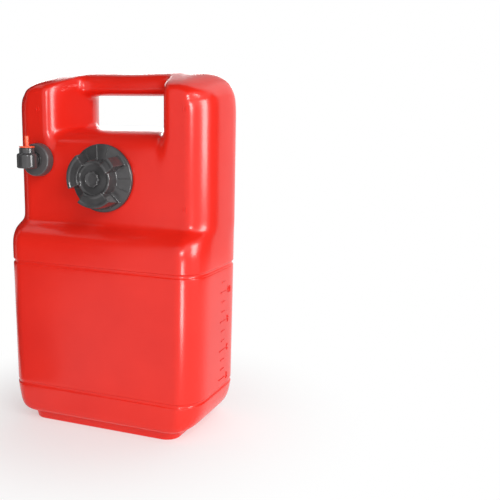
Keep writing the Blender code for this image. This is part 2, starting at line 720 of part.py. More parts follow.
def wing_profile():
    """The closed section of the cap's wings: a draft outside, a shallow dish on top."""
    dish_top = CAP_HEIGHT - CAP_WING_DISH
    inner_rim = WING_INNER_RADIUS + CAP_WING_RIM
    outer_rim = WING_RADIUS - CAP_WING_EDGE - CAP_WING_RIM
    return [
        (WING_INNER_RADIUS + CAP_WING_EDGE, CAP_HEIGHT), (inner_rim, CAP_HEIGHT),
        (inner_rim + CAP_WING_DISH, dish_top), (outer_rim - CAP_WING_DISH, dish_top),
        (outer_rim, CAP_HEIGHT), (WING_RADIUS - CAP_WING_EDGE, CAP_HEIGHT),
        (WING_RADIUS, CAP_HEIGHT - CAP_WING_EDGE),
        (WING_BASE_RADIUS, CAP_FLANGE_HEIGHT - CAP_SKIN / 2),
        (CORE_RADIUS - CAP_CORE_WALL / 2, FLOOR_TOP - CAP_SKIN / 2),
        (CORE_RADIUS - CAP_CORE_WALL / 2, ROOM_TOP - LINER_DISC),
        (CORE_TOP_RADIUS - CAP_CORE_WALL / 2, HUB_HEIGHT - CAP_HUB_WALL / 2),
        (WING_INNER_RADIUS, HUB_HEIGHT - CAP_HUB_WALL / 2),
        (WING_INNER_RADIUS, CAP_HEIGHT - CAP_WING_EDGE)]


def rib_profile():
    """The closed section of the ribs that cross the cap's sloping floor."""
    inner = CORE_RADIUS - CAP_CORE_WALL / 2
    return [
        (inner, FLOOR_TOP + CAP_RIB_HEIGHT), (FLOOR_RADIUS, CAP_FLANGE_HEIGHT + CAP_RIB_HEIGHT),
        (FLOOR_RADIUS, CAP_FLANGE_HEIGHT - CAP_SKIN / 2), (inner, FLOOR_TOP - CAP_SKIN / 2)]


def build_cap_grip():
    """The outer grip of the filler cap: flange, floor with ribs, core, wings and hub."""
    grip = turned_part("cap_grip", [
        (VENT_BORE_RADIUS, HUB_HEIGHT), (HUB_RADIUS, HUB_HEIGHT),
        (HUB_RADIUS + CAP_HUB_RIM, HUB_HEIGHT + CAP_HUB_RIM),
        (CORE_TOP_RADIUS - CAP_HUB_RIM, HUB_HEIGHT + CAP_HUB_RIM),
        (CORE_TOP_RADIUS, HUB_HEIGHT), (CORE_RADIUS, FLOOR_TOP),
        (FLOOR_RADIUS, CAP_FLANGE_HEIGHT), (CAP_BASE_RADIUS - CAP_HUB_RIM, CAP_FLANGE_HEIGHT),
        (CAP_BASE_RADIUS, CAP_FLANGE_HEIGHT - CAP_HUB_RIM), (CAP_BASE_RADIUS, CAP_BASE_LIFT),
        (CAP_BASE_RADIUS - CAP_SKIN, CAP_BASE_LIFT),
        (CAP_BASE_RADIUS - CAP_SKIN, CAP_FLANGE_HEIGHT - CAP_SKIN),
        (FLOOR_RADIUS, CAP_FLANGE_HEIGHT - CAP_SKIN), (CORE_RADIUS, FLOOR_TOP - CAP_SKIN),
        (CORE_RADIUS, CAP_BASE_LIFT), (ROOM_RADIUS, CAP_BASE_LIFT),
        (ROOM_RADIUS, ROOM_TOP - LINER_DISC), (INNER_ROOM_RADIUS, ROOM_TOP),
        (VENT_BORE_RADIUS, ROOM_TOP)], "black_plastic", ROUND_STEPS)
    wings = turned_cutter("wing_ring", wing_profile(), ROUND_STEPS, closed=True)
    centres = (CAP_AXIS_ANGLE + CAP_WING_SPREAD, CAP_AXIS_ANGLE - CAP_WING_SPREAD)
    reach = CAP_BASE_RADIUS + 2 * OVERRUN
    wedges = make_cutter("wing_wedges", wedge_mesh(
        "wing_wedges", CAP_WING_ANGLE, centres, reach, -OVERRUN, CAP_HEIGHT + OVERRUN, OVERRUN))
    tab = make_cutter("tab_block", spoke_mesh(
        "tab_block", 1, CAP_AXIS_ANGLE, CAP_TAB_WIDTH, HUB_RADIUS - OVERRUN, reach, -OVERRUN,
        CAP_HEIGHT + OVERRUN))
    combine(wedges, tab, "UNION")
    combine(wings, wedges, "INTERSECT")
    combine(grip, wings, "UNION")
    ribs = turned_cutter("rib_ring", rib_profile(), ROUND_STEPS, closed=True)
    spokes = make_cutter("rib_spokes", spoke_mesh(
        "rib_spokes", CAP_RIB_COUNT, CAP_FIRST_RIB, CAP_RIB_WIDTH, ROOM_RADIUS, reach, -OVERRUN,
        CAP_HEIGHT))
    combine(ribs, spokes, "INTERSECT")
    combine(grip, ribs, "UNION")
    for piece in (grip, wings, wedges, tab, ribs, spokes):
        face_forward(piece, FILLER_X, FILLER_Z)


def build_cap_inside():
    """The threaded liner, its gasket and the splash baffle under the vent."""
    liner = turned_part("cap_liner", [
        (VENT_BORE_RADIUS, DISC_TOP), (LINER_RADIUS - LINER_DISC, DISC_TOP),
        (LINER_RADIUS, DISC_TOP - LINER_DISC), (LINER_RADIUS, LINER_LIFT), (LINER_BORE, LINER_LIFT),
        (LINER_BORE, DISC_BOTTOM), (VENT_BORE_RADIUS, DISC_BOTTOM)], "black_plastic", ROUND_STEPS)
    gasket = turned_part("cap_gasket", [
        (GASKET_INNER_RADIUS, GASKET_BOTTOM + GASKET_THICKNESS),
        (SPOUT_OUTER_RADIUS, GASKET_BOTTOM + GASKET_THICKNESS),
        (SPOUT_OUTER_RADIUS, GASKET_BOTTOM), (GASKET_INNER_RADIUS, GASKET_BOTTOM)],
        "black_rubber", ROUND_STEPS)
    baffle_top = DISC_BOTTOM - GAP
    baffle_floor = baffle_top - BAFFLE_DEPTH
    baffle = turned_part("vent_baffle", [
        (BAFFLE_RADIUS - BAFFLE_WALL, baffle_top), (BAFFLE_RADIUS, baffle_top),
        (BAFFLE_RADIUS, baffle_floor), (VENT_BORE_RADIUS, baffle_floor),
        (VENT_BORE_RADIUS, baffle_floor + BAFFLE_WALL),
        (BAFFLE_RADIUS - BAFFLE_WALL, baffle_floor + BAFFLE_WALL)], "black_plastic", HIDDEN_STEPS)
    slots = make_cutter("baffle_slots", spoke_mesh(
        "baffle_slots", BAFFLE_SLOTS, pi / BAFFLE_SLOTS, BAFFLE_SLOT_WIDTH,
        BAFFLE_RADIUS - 2 * BAFFLE_WALL, BAFFLE_RADIUS + BAFFLE_WALL,
        baffle_floor + 2 * BAFFLE_WALL, baffle_top + BAFFLE_WALL))
    combine(baffle, slots, "DIFFERENCE")
    for piece in (liner, gasket, baffle, slots):
        face_forward(piece, FILLER_X, FILLER_Z)


def lobed_knob_mesh(name):
    """The vent screw's knob: a disc whose edge has shallow finger lobes."""
    mesh = bpy.data.meshes.new(name)
    cage = bmesh.new()
    edge = VENT_KNOB_LOBE / 2
    rings = ((KNOB_BOTTOM, 0.0), (KNOB_TOP - edge, 0.0), (KNOB_TOP, edge))
    count = VENT_KNOB_LOBES * VENT_LOBE_STEPS
    loops = []
    for height, drop in rings:
        loop = []
        for i in range(count):
            heading = 2 * pi * i / count
            hollow = VENT_KNOB_LOBE * (1 - cos(heading * VENT_KNOB_LOBES)) / 2
            radius = VENT_KNOB_RADIUS - drop - hollow
            loop.append(cage.verts.new((radius * cos(heading), radius * sin(heading), height)))
        loops.append(loop)
    cage.faces.new(list(reversed(loops[0])))
    cage.faces.new(loops[-1])
    for low, high in zip(loops, loops[1:]):
        for i in range(count):
            j = (i + 1) % count
            cage.faces.new((low[i], low[j], high[j], high[i]))
    cage.to_mesh(mesh)
    cage.free()
    smooth_by_angle(mesh)
    return mesh


def build_vent():
    """The vent screw and the soft seal under its knob."""
    screw = make_part("vent_screw", lobed_knob_mesh("vent_screw"), "black_plastic")
    shaft = turned_cutter("vent_shaft", rod(
        VENT_SHAFT_RADIUS, HUB_HEIGHT - VENT_SHAFT_REACH, (KNOB_BOTTOM + KNOB_TOP) / 2), HIDDEN_STEPS)
    combine(screw, shaft, "UNION")
    seal_top = KNOB_BOTTOM - GAP
    seal = turned_part("vent_seal", [
        (VENT_SHAFT_RADIUS + GAP, seal_top), (VENT_SEAL_RADIUS, seal_top),
        (VENT_SEAL_RADIUS, HUB_HEIGHT + GAP), (VENT_SHAFT_RADIUS + GAP, HUB_HEIGHT + GAP)],
        "black_rubber", HIDDEN_STEPS)
    for piece in (screw, shaft, seal):
        face_forward(piece, FILLER_X, FILLER_Z)


def build_fitting():
    """The nut, gasket and through body of the fuel fitting."""
    nut = turned_part("fitting_nut", [
        (BARREL_RADIUS + GAP, NUT_HEIGHT), (NUT_TOP_RADIUS - NUT_EDGE, NUT_HEIGHT),
        (NUT_TOP_RADIUS, NUT_HEIGHT - NUT_EDGE), (NUT_RADIUS, NUT_LIFT),
        (FITTING_SPOUT_RADIUS + GAP, NUT_LIFT), (FITTING_SPOUT_RADIUS + GAP, NUT_HEIGHT - NUT_FRONT_WALL),
        (BARREL_RADIUS + GAP, NUT_HEIGHT - NUT_FRONT_WALL)], "black_plastic", ROUND_STEPS)
    gasket = turned_part("fitting_gasket", [
        (FITTING_SPOUT_BORE, FLANGE_BOTTOM - GAP), (FLANGE_RADIUS, FLANGE_BOTTOM - GAP),
        (FLANGE_RADIUS, FITTING_SPOUT_HEIGHT + GAP), (FITTING_SPOUT_BORE, FITTING_SPOUT_HEIGHT + GAP)],
        "black_rubber", HIDDEN_STEPS)
    body = turned_part("fitting_body", [
        (BARREL_BORE, BARREL_TOP), (BARREL_RADIUS, BARREL_TOP), (BARREL_RADIUS, FLANGE_TOP),
        (FLANGE_RADIUS, FLANGE_TOP), (FLANGE_RADIUS, FLANGE_BOTTOM), (SPIGOT_RADIUS, FLANGE_BOTTOM),
        (SPIGOT_RADIUS, -SPIGOT_REACH), (TUBE_RADIUS + GAP, -SPIGOT_REACH),
        (TUBE_RADIUS + GAP, TUBE_SEAT), (FLOW_BORE, TUBE_SEAT), (FLOW_BORE, BARREL_FLOOR),
        (BARREL_BORE, BARREL_FLOOR)], "black_plastic", SMALL_STEPS)
    for piece in (nut, gasket, body):
        face_forward(piece, FITTING_X, FITTING_Z)


def build_pickup():
    """The tube that draws fuel from low in the tank, and the strainer on its end."""
    tube_top = TUBE_SEAT - GAP
    tube = turned_part("pickup_tube", [
        (TUBE_BORE, tube_top), (TUBE_RADIUS, tube_top), (TUBE_RADIUS, TUBE_END), (TUBE_BORE, TUBE_END)],
        "natural_plastic", HIDDEN_STEPS)
    top = STRAINER_END + STRAINER_LENGTH
    collar = TUBE_RADIUS + GAP
    strainer = turned_part("pickup_strainer", [
        (0.0, STRAINER_END + STRAINER_WALL), (STRAINER_BORE, STRAINER_END + STRAINER_WALL),
        (STRAINER_BORE, top - STRAINER_COLLAR), (collar, top - STRAINER_COLLAR), (collar, top),
        (STRAINER_RADIUS - STRAINER_NOSE, top), (STRAINER_RADIUS, top - STRAINER_NOSE),
        (STRAINER_RADIUS, STRAINER_END), (0.0, STRAINER_END)], "natural_plastic", HIDDEN_STEPS,
        closed=False)
    slot_bottom = STRAINER_END + 2 * STRAINER_WALL
    slots = make_cutter("strainer_slots", spoke_mesh(
        "strainer_slots", STRAINER_SLOTS, 0.0, STRAINER_SLOT_WIDTH, STRAINER_BORE - STRAINER_WALL,
        STRAINER_RADIUS + STRAINER_WALL, slot_bottom, slot_bottom + STRAINER_SLOT_LENGTH))
    combine(strainer, slots, "DIFFERENCE")
    for piece in (tube, strainer, slots):
        face_forward(piece, FITTING_X, FITTING_Z)


def stand_on_swivel(piece, height):
    """Place an upright piece of the elbow; heights count up from the swivel axis."""
    piece.location = (FITTING_X, ELBOW_Y, FITTING_Z + height)


def build_elbow():
    """The swivel elbow: an upright socket on a short arm that turns in the fitting body."""
    shoulder = ELBOW_RISE - NECK_LENGTH
    elbow = turned_part("elbow", [
        (0.0, SOCKET_FLOOR), (SOCKET_BORE, SOCKET_FLOOR), (SOCKET_BORE, ELBOW_RISE),
        (NECK_RADIUS - ELBOW_EDGE / 2, ELBOW_RISE), (NECK_RADIUS, ELBOW_RISE - ELBOW_EDGE / 2),
        (NECK_RADIUS, NECK_FOOT), (ELBOW_RADIUS - ELBOW_EDGE, NECK_FOOT - ELBOW_EDGE / 2),
        (ELBOW_RADIUS, shoulder), (ELBOW_RADIUS, ELBOW_BOTTOM + ELBOW_EDGE),
        (ELBOW_RADIUS - ELBOW_EDGE, ELBOW_BOTTOM), (0.0, ELBOW_BOTTOM)], "black_plastic",
        SMALL_STEPS, closed=False)
    stand_on_swivel(elbow, 0.0)
    arm_top = ELBOW_REACH - ELBOW_RADIUS + ARM_OVERLAP
    arm_low = BARREL_TOP + GAP
    pivot_low = BARREL_FLOOR + GAP
    arm = turned_cutter("elbow_arm", [
        (0.0, arm_top), (ARM_RADIUS, arm_top), (ARM_RADIUS, arm_low), (PIVOT_RADIUS, arm_low),
        (PIVOT_RADIUS, pivot_low), (0.0, pivot_low)], SMALL_STEPS)
    passage = turned_cutter("elbow_passage", rod(
        FLOW_BORE, pivot_low - OVERRUN, ELBOW_REACH), SMALL_STEPS)
    combine(elbow, arm, "UNION")
    combine(elbow, passage, "DIFFERENCE")
    for piece in (arm, passage):
        face_forward(piece, FITTING_X, FITTING_Z)
    ring_middle = (BARREL_BORE + PIVOT_RADIUS) / 2
    ring_height = BARREL_TOP - ORING_DEPTH
    section = (BARREL_BORE - PIVOT_RADIUS) / 2 - GAP
    ring_points = []
    for i in range(ORING_SIDES):
        heading = -2 * pi * i / ORING_SIDES
        ring_points.append((ring_middle + section * cos(heading), ring_height + section * sin(heading)))
    ring = turned_part("elbow_oring", ring_points, "black_rubber", HIDDEN_STEPS)
    face_forward(ring, FITTING_X, FITTING_Z)


def build_check_valve():
    """The ball, spring and seat that shut the socket when no hose is on it."""
    seat = turned_part("valve_seat", [
        (SEAT_BORE, SEAT_TOP), (SOCKET_BORE - GAP, SEAT_TOP), (SOCKET_BORE - GAP, SEAT_BOTTOM),
        (SEAT_BORE, SEAT_BOTTOM)], "black_rubber", SMALL_STEPS)
    stand_on_swivel(seat, 0.0)
    ball_mesh = bpy.data.meshes.new("check_ball")
    cage = bmesh.new()
    bmesh.ops.create_uvsphere(cage, u_segments=HIDDEN_STEPS, v_segments=BALL_RINGS, radius=BALL_RADIUS)
    cage.to_mesh(ball_mesh)
    cage.free()
    ball_mesh.shade_smooth()
    ball = make_part("check_ball", ball_mesh, "steel")
    stand_on_swivel(ball, BALL_HEIGHT)
    bottom = SOCKET_FLOOR + GAP + SPRING_WIRE
    touch = sqrt(BALL_RADIUS ** 2 - SPRING_RADIUS ** 2)
    top = BALL_HEIGHT - touch - 2 * GAP - SPRING_WIRE
    curve = bpy.data.curves.new("check_spring", "CURVE")
    curve.dimensions = "3D"
    curve.bevel_depth = SPRING_WIRE
    curve.bevel_resolution = 1
    curve.use_fill_caps = True
    line = curve.splines.new("POLY")
    count = SPRING_TURNS * SPRING_STEPS + 1
    line.points.add(count - 1)
    for i in range(count):
        heading = 2 * pi * i / SPRING_STEPS
        height = bottom + (top - bottom) * i / (count - 1)
        line.points[i].co = (SPRING_RADIUS * cos(heading), SPRING_RADIUS * sin(heading), height, 1.0)
    spring = bpy.data.objects.new("check_spring", curve)
    curve.materials.append(finish_material("check_spring_finish", "steel"))
    stand_on_swivel(spring, 0.0)
    PARTS.objects.link(spring)


def build_plug():
    """The shipping plug: a spigot in the socket, a round flange and a pull stem."""
    flange_bottom = ELBOW_RISE + GAP
    flange_top = flange_bottom + PLUG_FLANGE_THICKNESS
    stem_top = ELBOW_RISE + PLUG_STEM_RISE
    tip = ELBOW_RISE - PLUG_SPIGOT_LENGTH
    plug = turned_part("shipping_plug", [
        (0.0, stem_top), (PLUG_STEM_RADIUS - PLUG_ROUND, stem_top),
        (PLUG_STEM_RADIUS, stem_top - PLUG_ROUND), (PLUG_STEM_RADIUS, flange_top),
        (PLUG_FLANGE_RADIUS - PLUG_ROUND, flange_top),
        (PLUG_FLANGE_RADIUS, flange_top - PLUG_ROUND), (PLUG_FLANGE_RADIUS, flange_bottom + PLUG_ROUND),
        (PLUG_FLANGE_RADIUS - PLUG_ROUND, flange_bottom), (PLUG_SPIGOT_RADIUS, flange_bottom),
        (PLUG_SPIGOT_RADIUS, tip + PLUG_ROUND), (PLUG_SPIGOT_RADIUS - PLUG_ROUND, tip), (0.0, tip)],
        "orange_plastic", SMALL_STEPS, closed=False)
    stand_on_swivel(plug, 0.0)


def balance_shading():
    """Weight the normals by face area, so that flats look flat between rounded edges."""
    for piece in PARTS.objects:
        if piece.type == "MESH":
            weighted = piece.modifiers.new("balanced_shading", "WEIGHTED_NORMAL")
            weighted.keep_sharp = True


def build():
    """Make every piece of the tank."""
    build_tank()
    build_cap_grip()
    build_cap_inside()
    build_vent()
    build_fitting()
    build_pickup()
    build_elbow()
    build_check_valve()
    build_plug()
    balance_shading()


build()
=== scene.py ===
# %% [markdown]
# A red fuel tank for an outboard motor, made ready for a studio picture.
# The frame holds the engineering model: every piece at its real size and place, in metres,
# with +Z up and the front face of the tank towards -Y. This lesson dresses that frame. It makes
# the smooth moulded shell, the winged filler cap, the fuel fitting with its bright plug, and the
# finishes of all the pieces, and it ends with a floor, lamps and a camera.

from math import atan, cos, hypot, pi, radians, sin
from types import SimpleNamespace

import bmesh
import bpy
from mathutils import Matrix, Vector


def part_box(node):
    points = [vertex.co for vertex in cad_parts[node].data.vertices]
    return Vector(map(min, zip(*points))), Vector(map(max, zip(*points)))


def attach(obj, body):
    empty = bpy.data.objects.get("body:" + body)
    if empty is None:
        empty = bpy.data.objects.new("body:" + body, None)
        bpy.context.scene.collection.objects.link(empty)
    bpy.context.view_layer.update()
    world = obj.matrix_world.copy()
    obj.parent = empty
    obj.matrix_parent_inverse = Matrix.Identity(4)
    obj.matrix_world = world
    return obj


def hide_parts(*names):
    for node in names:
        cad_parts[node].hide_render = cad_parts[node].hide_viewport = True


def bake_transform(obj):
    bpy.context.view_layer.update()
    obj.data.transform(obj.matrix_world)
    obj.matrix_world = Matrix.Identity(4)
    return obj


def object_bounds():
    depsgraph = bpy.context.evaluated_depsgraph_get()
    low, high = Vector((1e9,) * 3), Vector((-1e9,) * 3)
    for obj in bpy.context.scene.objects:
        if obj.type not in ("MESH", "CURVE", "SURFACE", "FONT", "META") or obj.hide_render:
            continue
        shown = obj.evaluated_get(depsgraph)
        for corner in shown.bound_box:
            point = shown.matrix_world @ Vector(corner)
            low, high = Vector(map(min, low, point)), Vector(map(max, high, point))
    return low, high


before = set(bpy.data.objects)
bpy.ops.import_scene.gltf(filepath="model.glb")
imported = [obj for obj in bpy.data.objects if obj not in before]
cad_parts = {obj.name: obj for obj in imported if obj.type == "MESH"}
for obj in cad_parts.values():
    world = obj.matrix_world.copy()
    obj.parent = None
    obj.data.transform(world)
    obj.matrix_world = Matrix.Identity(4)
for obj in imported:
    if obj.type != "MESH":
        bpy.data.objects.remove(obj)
cad_low, cad_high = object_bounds()
cad_size = [round(1000 * side, 1) for side in cad_high - cad_low]
print("frame loaded:", len(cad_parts), "pieces, size in mm", cad_size)

# %% [markdown]
# Colours are written as sRGB hex values, the way paint charts give them, but shaders
# work in linear light. One function does the change, so that no colour is turned twice. One
# more function adds any kind of node with its settings and links, because nearly every
# material here is a handful of noise, ramp and bump nodes.

# %% Helpers for colours and nodes
GAMMA_KNEE = 0.04045


def linear(hex_value):
    """A colour written as sRGB hex, turned to the linear values that shaders expect."""
    channels = []
    for place in (0, 2, 4):
        value = int(hex_value[place:place + 2], 16) / 255
        value = value / 12.92 if value <= GAMMA_KNEE else ((value + 0.055) / 1.055) ** 2.4
        channels.append(value)
    return (*channels, 1.0)


def add_node(tree, kind, settings=None, values=None, links=None):
    """Add one node: its settings, the values of its sockets, and what is plugged into them."""
    node = tree.nodes.new(kind)
    for name, value in (settings or {}).items():
        setattr(node, name, value)
    for name, value in (values or {}).items():
        node.inputs[name].default_value = value
    for name, source in (links or {}).items():
        tree.links.new(source, node.inputs[name])
    return node


def new_material(name, roughness, ior=1.5, metallic=0.0, gloss=0.5):
    """A material with its Principled shader, ready to be given colours and texture."""
    material = bpy.data.materials.new(name)
    material.use_nodes = True
    shader = material.node_tree.nodes["Principled BSDF"]
    shader.inputs["Roughness"].default_value = roughness
    shader.inputs["Metallic"].default_value = metallic
    shader.inputs["IOR"].default_value = ior
    shader.inputs["Specular IOR Level"].default_value = gloss
    return material, material.node_tree, shader


MM = 0.001


def waves_per_metre(pitch_mm):
    """The scale of a noise whose features are about this many millimetres across."""
    return 1 / (pitch_mm * MM)


print("helpers ready; mid grey is", round(linear("808080")[0], 3), "in linear light")

# %% [markdown]
# The shell is high-density polyethylene, blown like a bottle inside a two-part mould. The red
# pigment goes through the whole wall. The mould is sandblasted lightly, so that air can leave,
# and the skin that it gives is glossy but never a perfect mirror: reflections are soft, and
# long soft waves run through them where the wall shrank as it cooled. Two noises make that,
# one of a few centimetres for the shrinkage and one of about a millimetre for the skin.

# %% Red blow-moulded polyethylene
def red_polyethylene():
    """Glossy red polyethylene with a faint orange-peel skin."""
    material, tree, shader = new_material("red_hdpe_blow_moulded", 0.3, gloss=0.4)
    place = add_node(tree, "ShaderNodeTexCoord").outputs["Object"]
    tone = add_node(tree, "ShaderNodeTexNoise", None,
                    {"Scale": waves_per_metre(90), "Detail": 3.0}, {"Vector": place})
    ramp = add_node(tree, "ShaderNodeValToRGB", None, None, {"Fac": tone.outputs["Fac"]})
    ramp.color_ramp.elements[0].position = 0.3
    ramp.color_ramp.elements[0].color = linear("E52418")
    ramp.color_ramp.elements[1].position = 0.75
    ramp.color_ramp.elements[1].color = linear("F02B1D")
    tree.links.new(ramp.outputs["Color"], shader.inputs["Base Color"])
    skin = add_node(tree, "ShaderNodeTexNoise", None,
                    {"Scale": waves_per_metre(1.6), "Detail": 2.0}, {"Vector": place})
    shrink = add_node(tree, "ShaderNodeTexNoise", None,
                      {"Scale": waves_per_metre(38), "Detail": 1.0}, {"Vector": place})
    gloss = add_node(tree, "ShaderNodeMapRange", None,
                     {"To Min": 0.18, "To Max": 0.26}, {"Value": skin.outputs["Fac"]})
    tree.links.new(gloss.outputs["Result"], shader.inputs["Roughness"])
    fine = add_node(tree, "ShaderNodeBump", None, {"Strength": 0.12, "Distance": 0.05 * MM},
                    {"Height": skin.outputs["Fac"]})
    broad = add_node(tree, "ShaderNodeBump", None, {"Strength": 0.25, "Distance": 0.6 * MM},
                     {"Height": shrink.outputs["Fac"], "Normal": fine.outputs["Normal"]})
    apart = add_node(tree, "ShaderNodeSeparateXYZ", None, None, {"Vector": place})
    offset = add_node(tree, "ShaderNodeMath", {"operation": "SUBTRACT"}, {1: 0.030},
                      {0: apart.outputs["Y"]})
    distance = add_node(tree, "ShaderNodeMath", {"operation": "ABSOLUTE"}, None,
                        {0: offset.outputs[0]})
    seam = add_node(tree, "ShaderNodeMapRange", {"interpolation_type": "SMOOTHSTEP"}, {
        "From Max": 0.7 * MM, "To Min": 1.0, "To Max": 0.0}, {"Value": distance.outputs[0]})
    line = add_node(tree, "ShaderNodeBump", None, {"Strength": 0.5, "Distance": 0.15 * MM},
                    {"Height": seam.outputs["Result"], "Normal": broad.outputs["Normal"]})
    tree.links.new(line.outputs["Normal"], shader.inputs["Normal"])
    return material


RED = red_polyethylene()
print("made", RED.name)

# %% [markdown]
# The cap, the nut and the elbow are injection-moulded nylon, coloured black right through.
# A new moulding has a satin skin from the steel mould. Fine scuffs and a dusty bloom keep it
# from looking like a hole in the picture, so its colour is a dark grey, never pure black.

# %% Black injection-moulded nylon
def black_nylon():
    """Satin black nylon with a fine moulded grain."""
    material, tree, shader = new_material("black_nylon_injection_moulded", 0.26)
    place = add_node(tree, "ShaderNodeTexCoord").outputs["Object"]
    bloom = add_node(tree, "ShaderNodeTexNoise", None,
                     {"Scale": waves_per_metre(14), "Detail": 4.0}, {"Vector": place})
    ramp = add_node(tree, "ShaderNodeValToRGB", None, None, {"Fac": bloom.outputs["Fac"]})
    ramp.color_ramp.elements[0].position = 0.35
    ramp.color_ramp.elements[0].color = linear("424142")
    ramp.color_ramp.elements[1].position = 0.7
    ramp.color_ramp.elements[1].color = linear("4B4A4B")
    tree.links.new(ramp.outputs["Color"], shader.inputs["Base Color"])
    grain = add_node(tree, "ShaderNodeTexNoise", None,
                     {"Scale": waves_per_metre(0.5), "Detail": 2.0}, {"Vector": place})
    gloss = add_node(tree, "ShaderNodeMapRange", None,
                     {"To Min": 0.11, "To Max": 0.2}, {"Value": bloom.outputs["Fac"]})
    tree.links.new(gloss.outputs["Result"], shader.inputs["Roughness"])
    bump = add_node(tree, "ShaderNodeBump", None, {"Strength": 0.25, "Distance": 0.02 * MM},
                    {"Height": grain.outputs["Fac"]})
    tree.links.new(bump.outputs["Normal"], shader.inputs["Normal"])
    return material


BLACK = black_nylon()
print("made", BLACK.name)

# %% [markdown]
# The other materials are few. The plug is low-density polyethylene, bright so that nobody
# forgets it. Seals and the valve seat are black nitrile rubber, dull and slightly dusty. The
# suction tube and strainer are unpigmented polyethylene, milky and soft to look at. The valve
# ball and its spring are stainless steel, the one polished and the other drawn as wire.

# %% Orange, rubber, natural plastic and steel
def mottled(name, dark, light, grain_mm, roughness, bump=0.01, ior=1.5, metallic=0.0):
    """A material whose colour drifts between two near tones, with a fine grain."""
    material, tree, shader = new_material(name, roughness, ior, metallic)
    place = add_node(tree, "ShaderNodeTexCoord").outputs["Object"]
    drift = add_node(tree, "ShaderNodeTexNoise", None,
                     {"Scale": waves_per_metre(12), "Detail": 4.0}, {"Vector": place})
    ramp = add_node(tree, "ShaderNodeValToRGB", None, None, {"Fac": drift.outputs["Fac"]})
    ramp.color_ramp.elements[0].position = 0.35
    ramp.color_ramp.elements[0].color = linear(dark)
    ramp.color_ramp.elements[1].position = 0.7
    ramp.color_ramp.elements[1].color = linear(light)
    tree.links.new(ramp.outputs["Color"], shader.inputs["Base Color"])
    grain = add_node(tree, "ShaderNodeTexNoise", None,
                     {"Scale": waves_per_metre(grain_mm), "Detail": 2.0}, {"Vector": place})
    gloss = add_node(tree, "ShaderNodeMapRange", None, {
        "To Min": roughness - 0.06, "To Max": roughness + 0.06}, {"Value": drift.outputs["Fac"]})
    tree.links.new(gloss.outputs["Result"], shader.inputs["Roughness"])
    relief = add_node(tree, "ShaderNodeBump", None, {"Strength": 0.25, "Distance": bump * MM},
                      {"Height": grain.outputs["Fac"]})
    tree.links.new(relief.outputs["Normal"], shader.inputs["Normal"])
    return material


# The nut's black nylon, made lighter: painted light for its face, which mirrors a dark card.
NYLON_PAINTED_LIGHTER = mottled("black_nylon_painted_lighter", "545152", "5E5B5C", 0.5, 0.34, 0.02)
ORANGE = mottled("orange_ldpe_injection_moulded", "FF5A33", "FF6A42", 0.6, 0.36, 0.02)
RUBBER = mottled("black_nitrile_rubber_pressed", "1C1C1D", "262627", 0.25, 0.72, 0.03)
NATURAL = mottled("natural_polyethylene_extruded", "DCD8CB", "E8E5DA", 0.8, 0.42, 0.02)
STEEL = mottled("stainless_steel_polished", "C4C5C7", "D2D3D4", 0.2, 0.16, 0.002, 2.5, 1.0)
print("made", ", ".join(m.name for m in (ORANGE, RUBBER, NATURAL, STEEL)))

# %% [markdown]
# The shell comes first, because everything else is fixed to it. It is described by a cage of
# control points, as a car body or a bottle would be: a front sheet, a back sheet, a rim that
# joins them, and the walls of the hand slot. The engineering model rounds a similar cage, with
# level ear tops and tighter upper corners, only once, to stay light. Here the ear tops slope to
# the front, and the cage is rounded more often, so the big corners are smooth enough to carry
# long reflections. The sizes below are estimates of the real tank's, in metres.

# %% Sizes of the shell
TANK_HEIGHT = 0.468
UPPER_HALF_WIDTH = 0.143
LOWER_DRAFT = 0.0022
LOWER_FRONT_Y = -0.0757
UPPER_FRONT_Y = -0.0475
BACK_Y = 0.0757
WALL = 0.003
FRONT_CORNER_RADIUS = 0.035
BACK_CORNER_RADIUS = 0.030
OUTLINE_CORNER_RADIUS = 0.032
TOP_CORNER_RADIUS = 0.038
TOP_EDGE_RADIUS = 0.011
TOP_DIP = 0.014
TOP_RISE = 0.0055
TOP_CREST_Y = 0.034
TOP_SLOPE_START = 0.425
TOP_SLOPE_FULL = 0.458
BOTTOM_EDGE_RADIUS = 0.010
FOOT_HEIGHT = 0.010
FOOT_SIDE_INSET = 0.030
FOOT_END_INSET = 0.0112
FOOT_DRAFT = 0.004
FOOT_CORNER_RADIUS = 0.018
GROOVE_SECTION = ((-0.0042, 0), (-0.0026, 0), (-0.0020, 0.0018), (0.0020, 0.0018),
                  (0.0026, 0), (0.0042, 0))
SHOULDER_HEIGHT = 0.040
SHOULDER_BLEND = 0.014
GRIP_SHOULDER = 0.007
GRIP_SAG = 0.0015
RECESS_WALL_RUN = 0.021
RECESS_FLOOR_DROP = 0.013
HOLE_CORNER_RADIUS = 0.014
HOLE_LIP = 0.0012
SLOT_CREASE = 0.42
RING_WIDTH_SHARES = (0.0, 0.23, 0.58, 1.0)
EAR_FLAT_SHARE = 1.42
RING_DEPTH_SHARES = (1.0, 0.63, 0.22, 0.0)
RING_FLOOR_SHARES = (0.0, 0.12, 0.62, 1.7)
CORNER_START_SHARE = 0.58
CORNER_INSET_SHARE = 0.19
RIM_DEPTH_SHARES = (0.35, 0.68)
SLOT_COLUMN_SHARE = 0.7
SHOULDER_ROW_SHARES = ((0.0, 0.0), (0.36, 0.0), (0.70, 0.27), (0.86, 0.80), (1.0, 1.0))
FILLER_X = -0.001
HOLE_TOP_Z = 0.441
HOLE_BOTTOM_Z = 0.399
HOLE_HALF_WIDTH = 0.065
HOLE_FRONT_Y = 0.02
HOLE_BACK_Y = 0.041
GRIP_FRONT_Y = 0.008
GRIP_BACK_Y = 0.05
FILLER_Z = 0.335
FITTING_X = -0.098
FITTING_Z = 0.3556
SHOULDER_TOP_Z = 0.276
SHOULDER_BOTTOM_Z = 0.236
ELBOW_Y = -0.074
LINER_RADIUS = 0.0225
LINER_BORE = 0.0201
BALL_RADIUS = 0.004
GROOVE_HEIGHTS = (0.052, 0.22)
LINER_ROOM = 0.0228
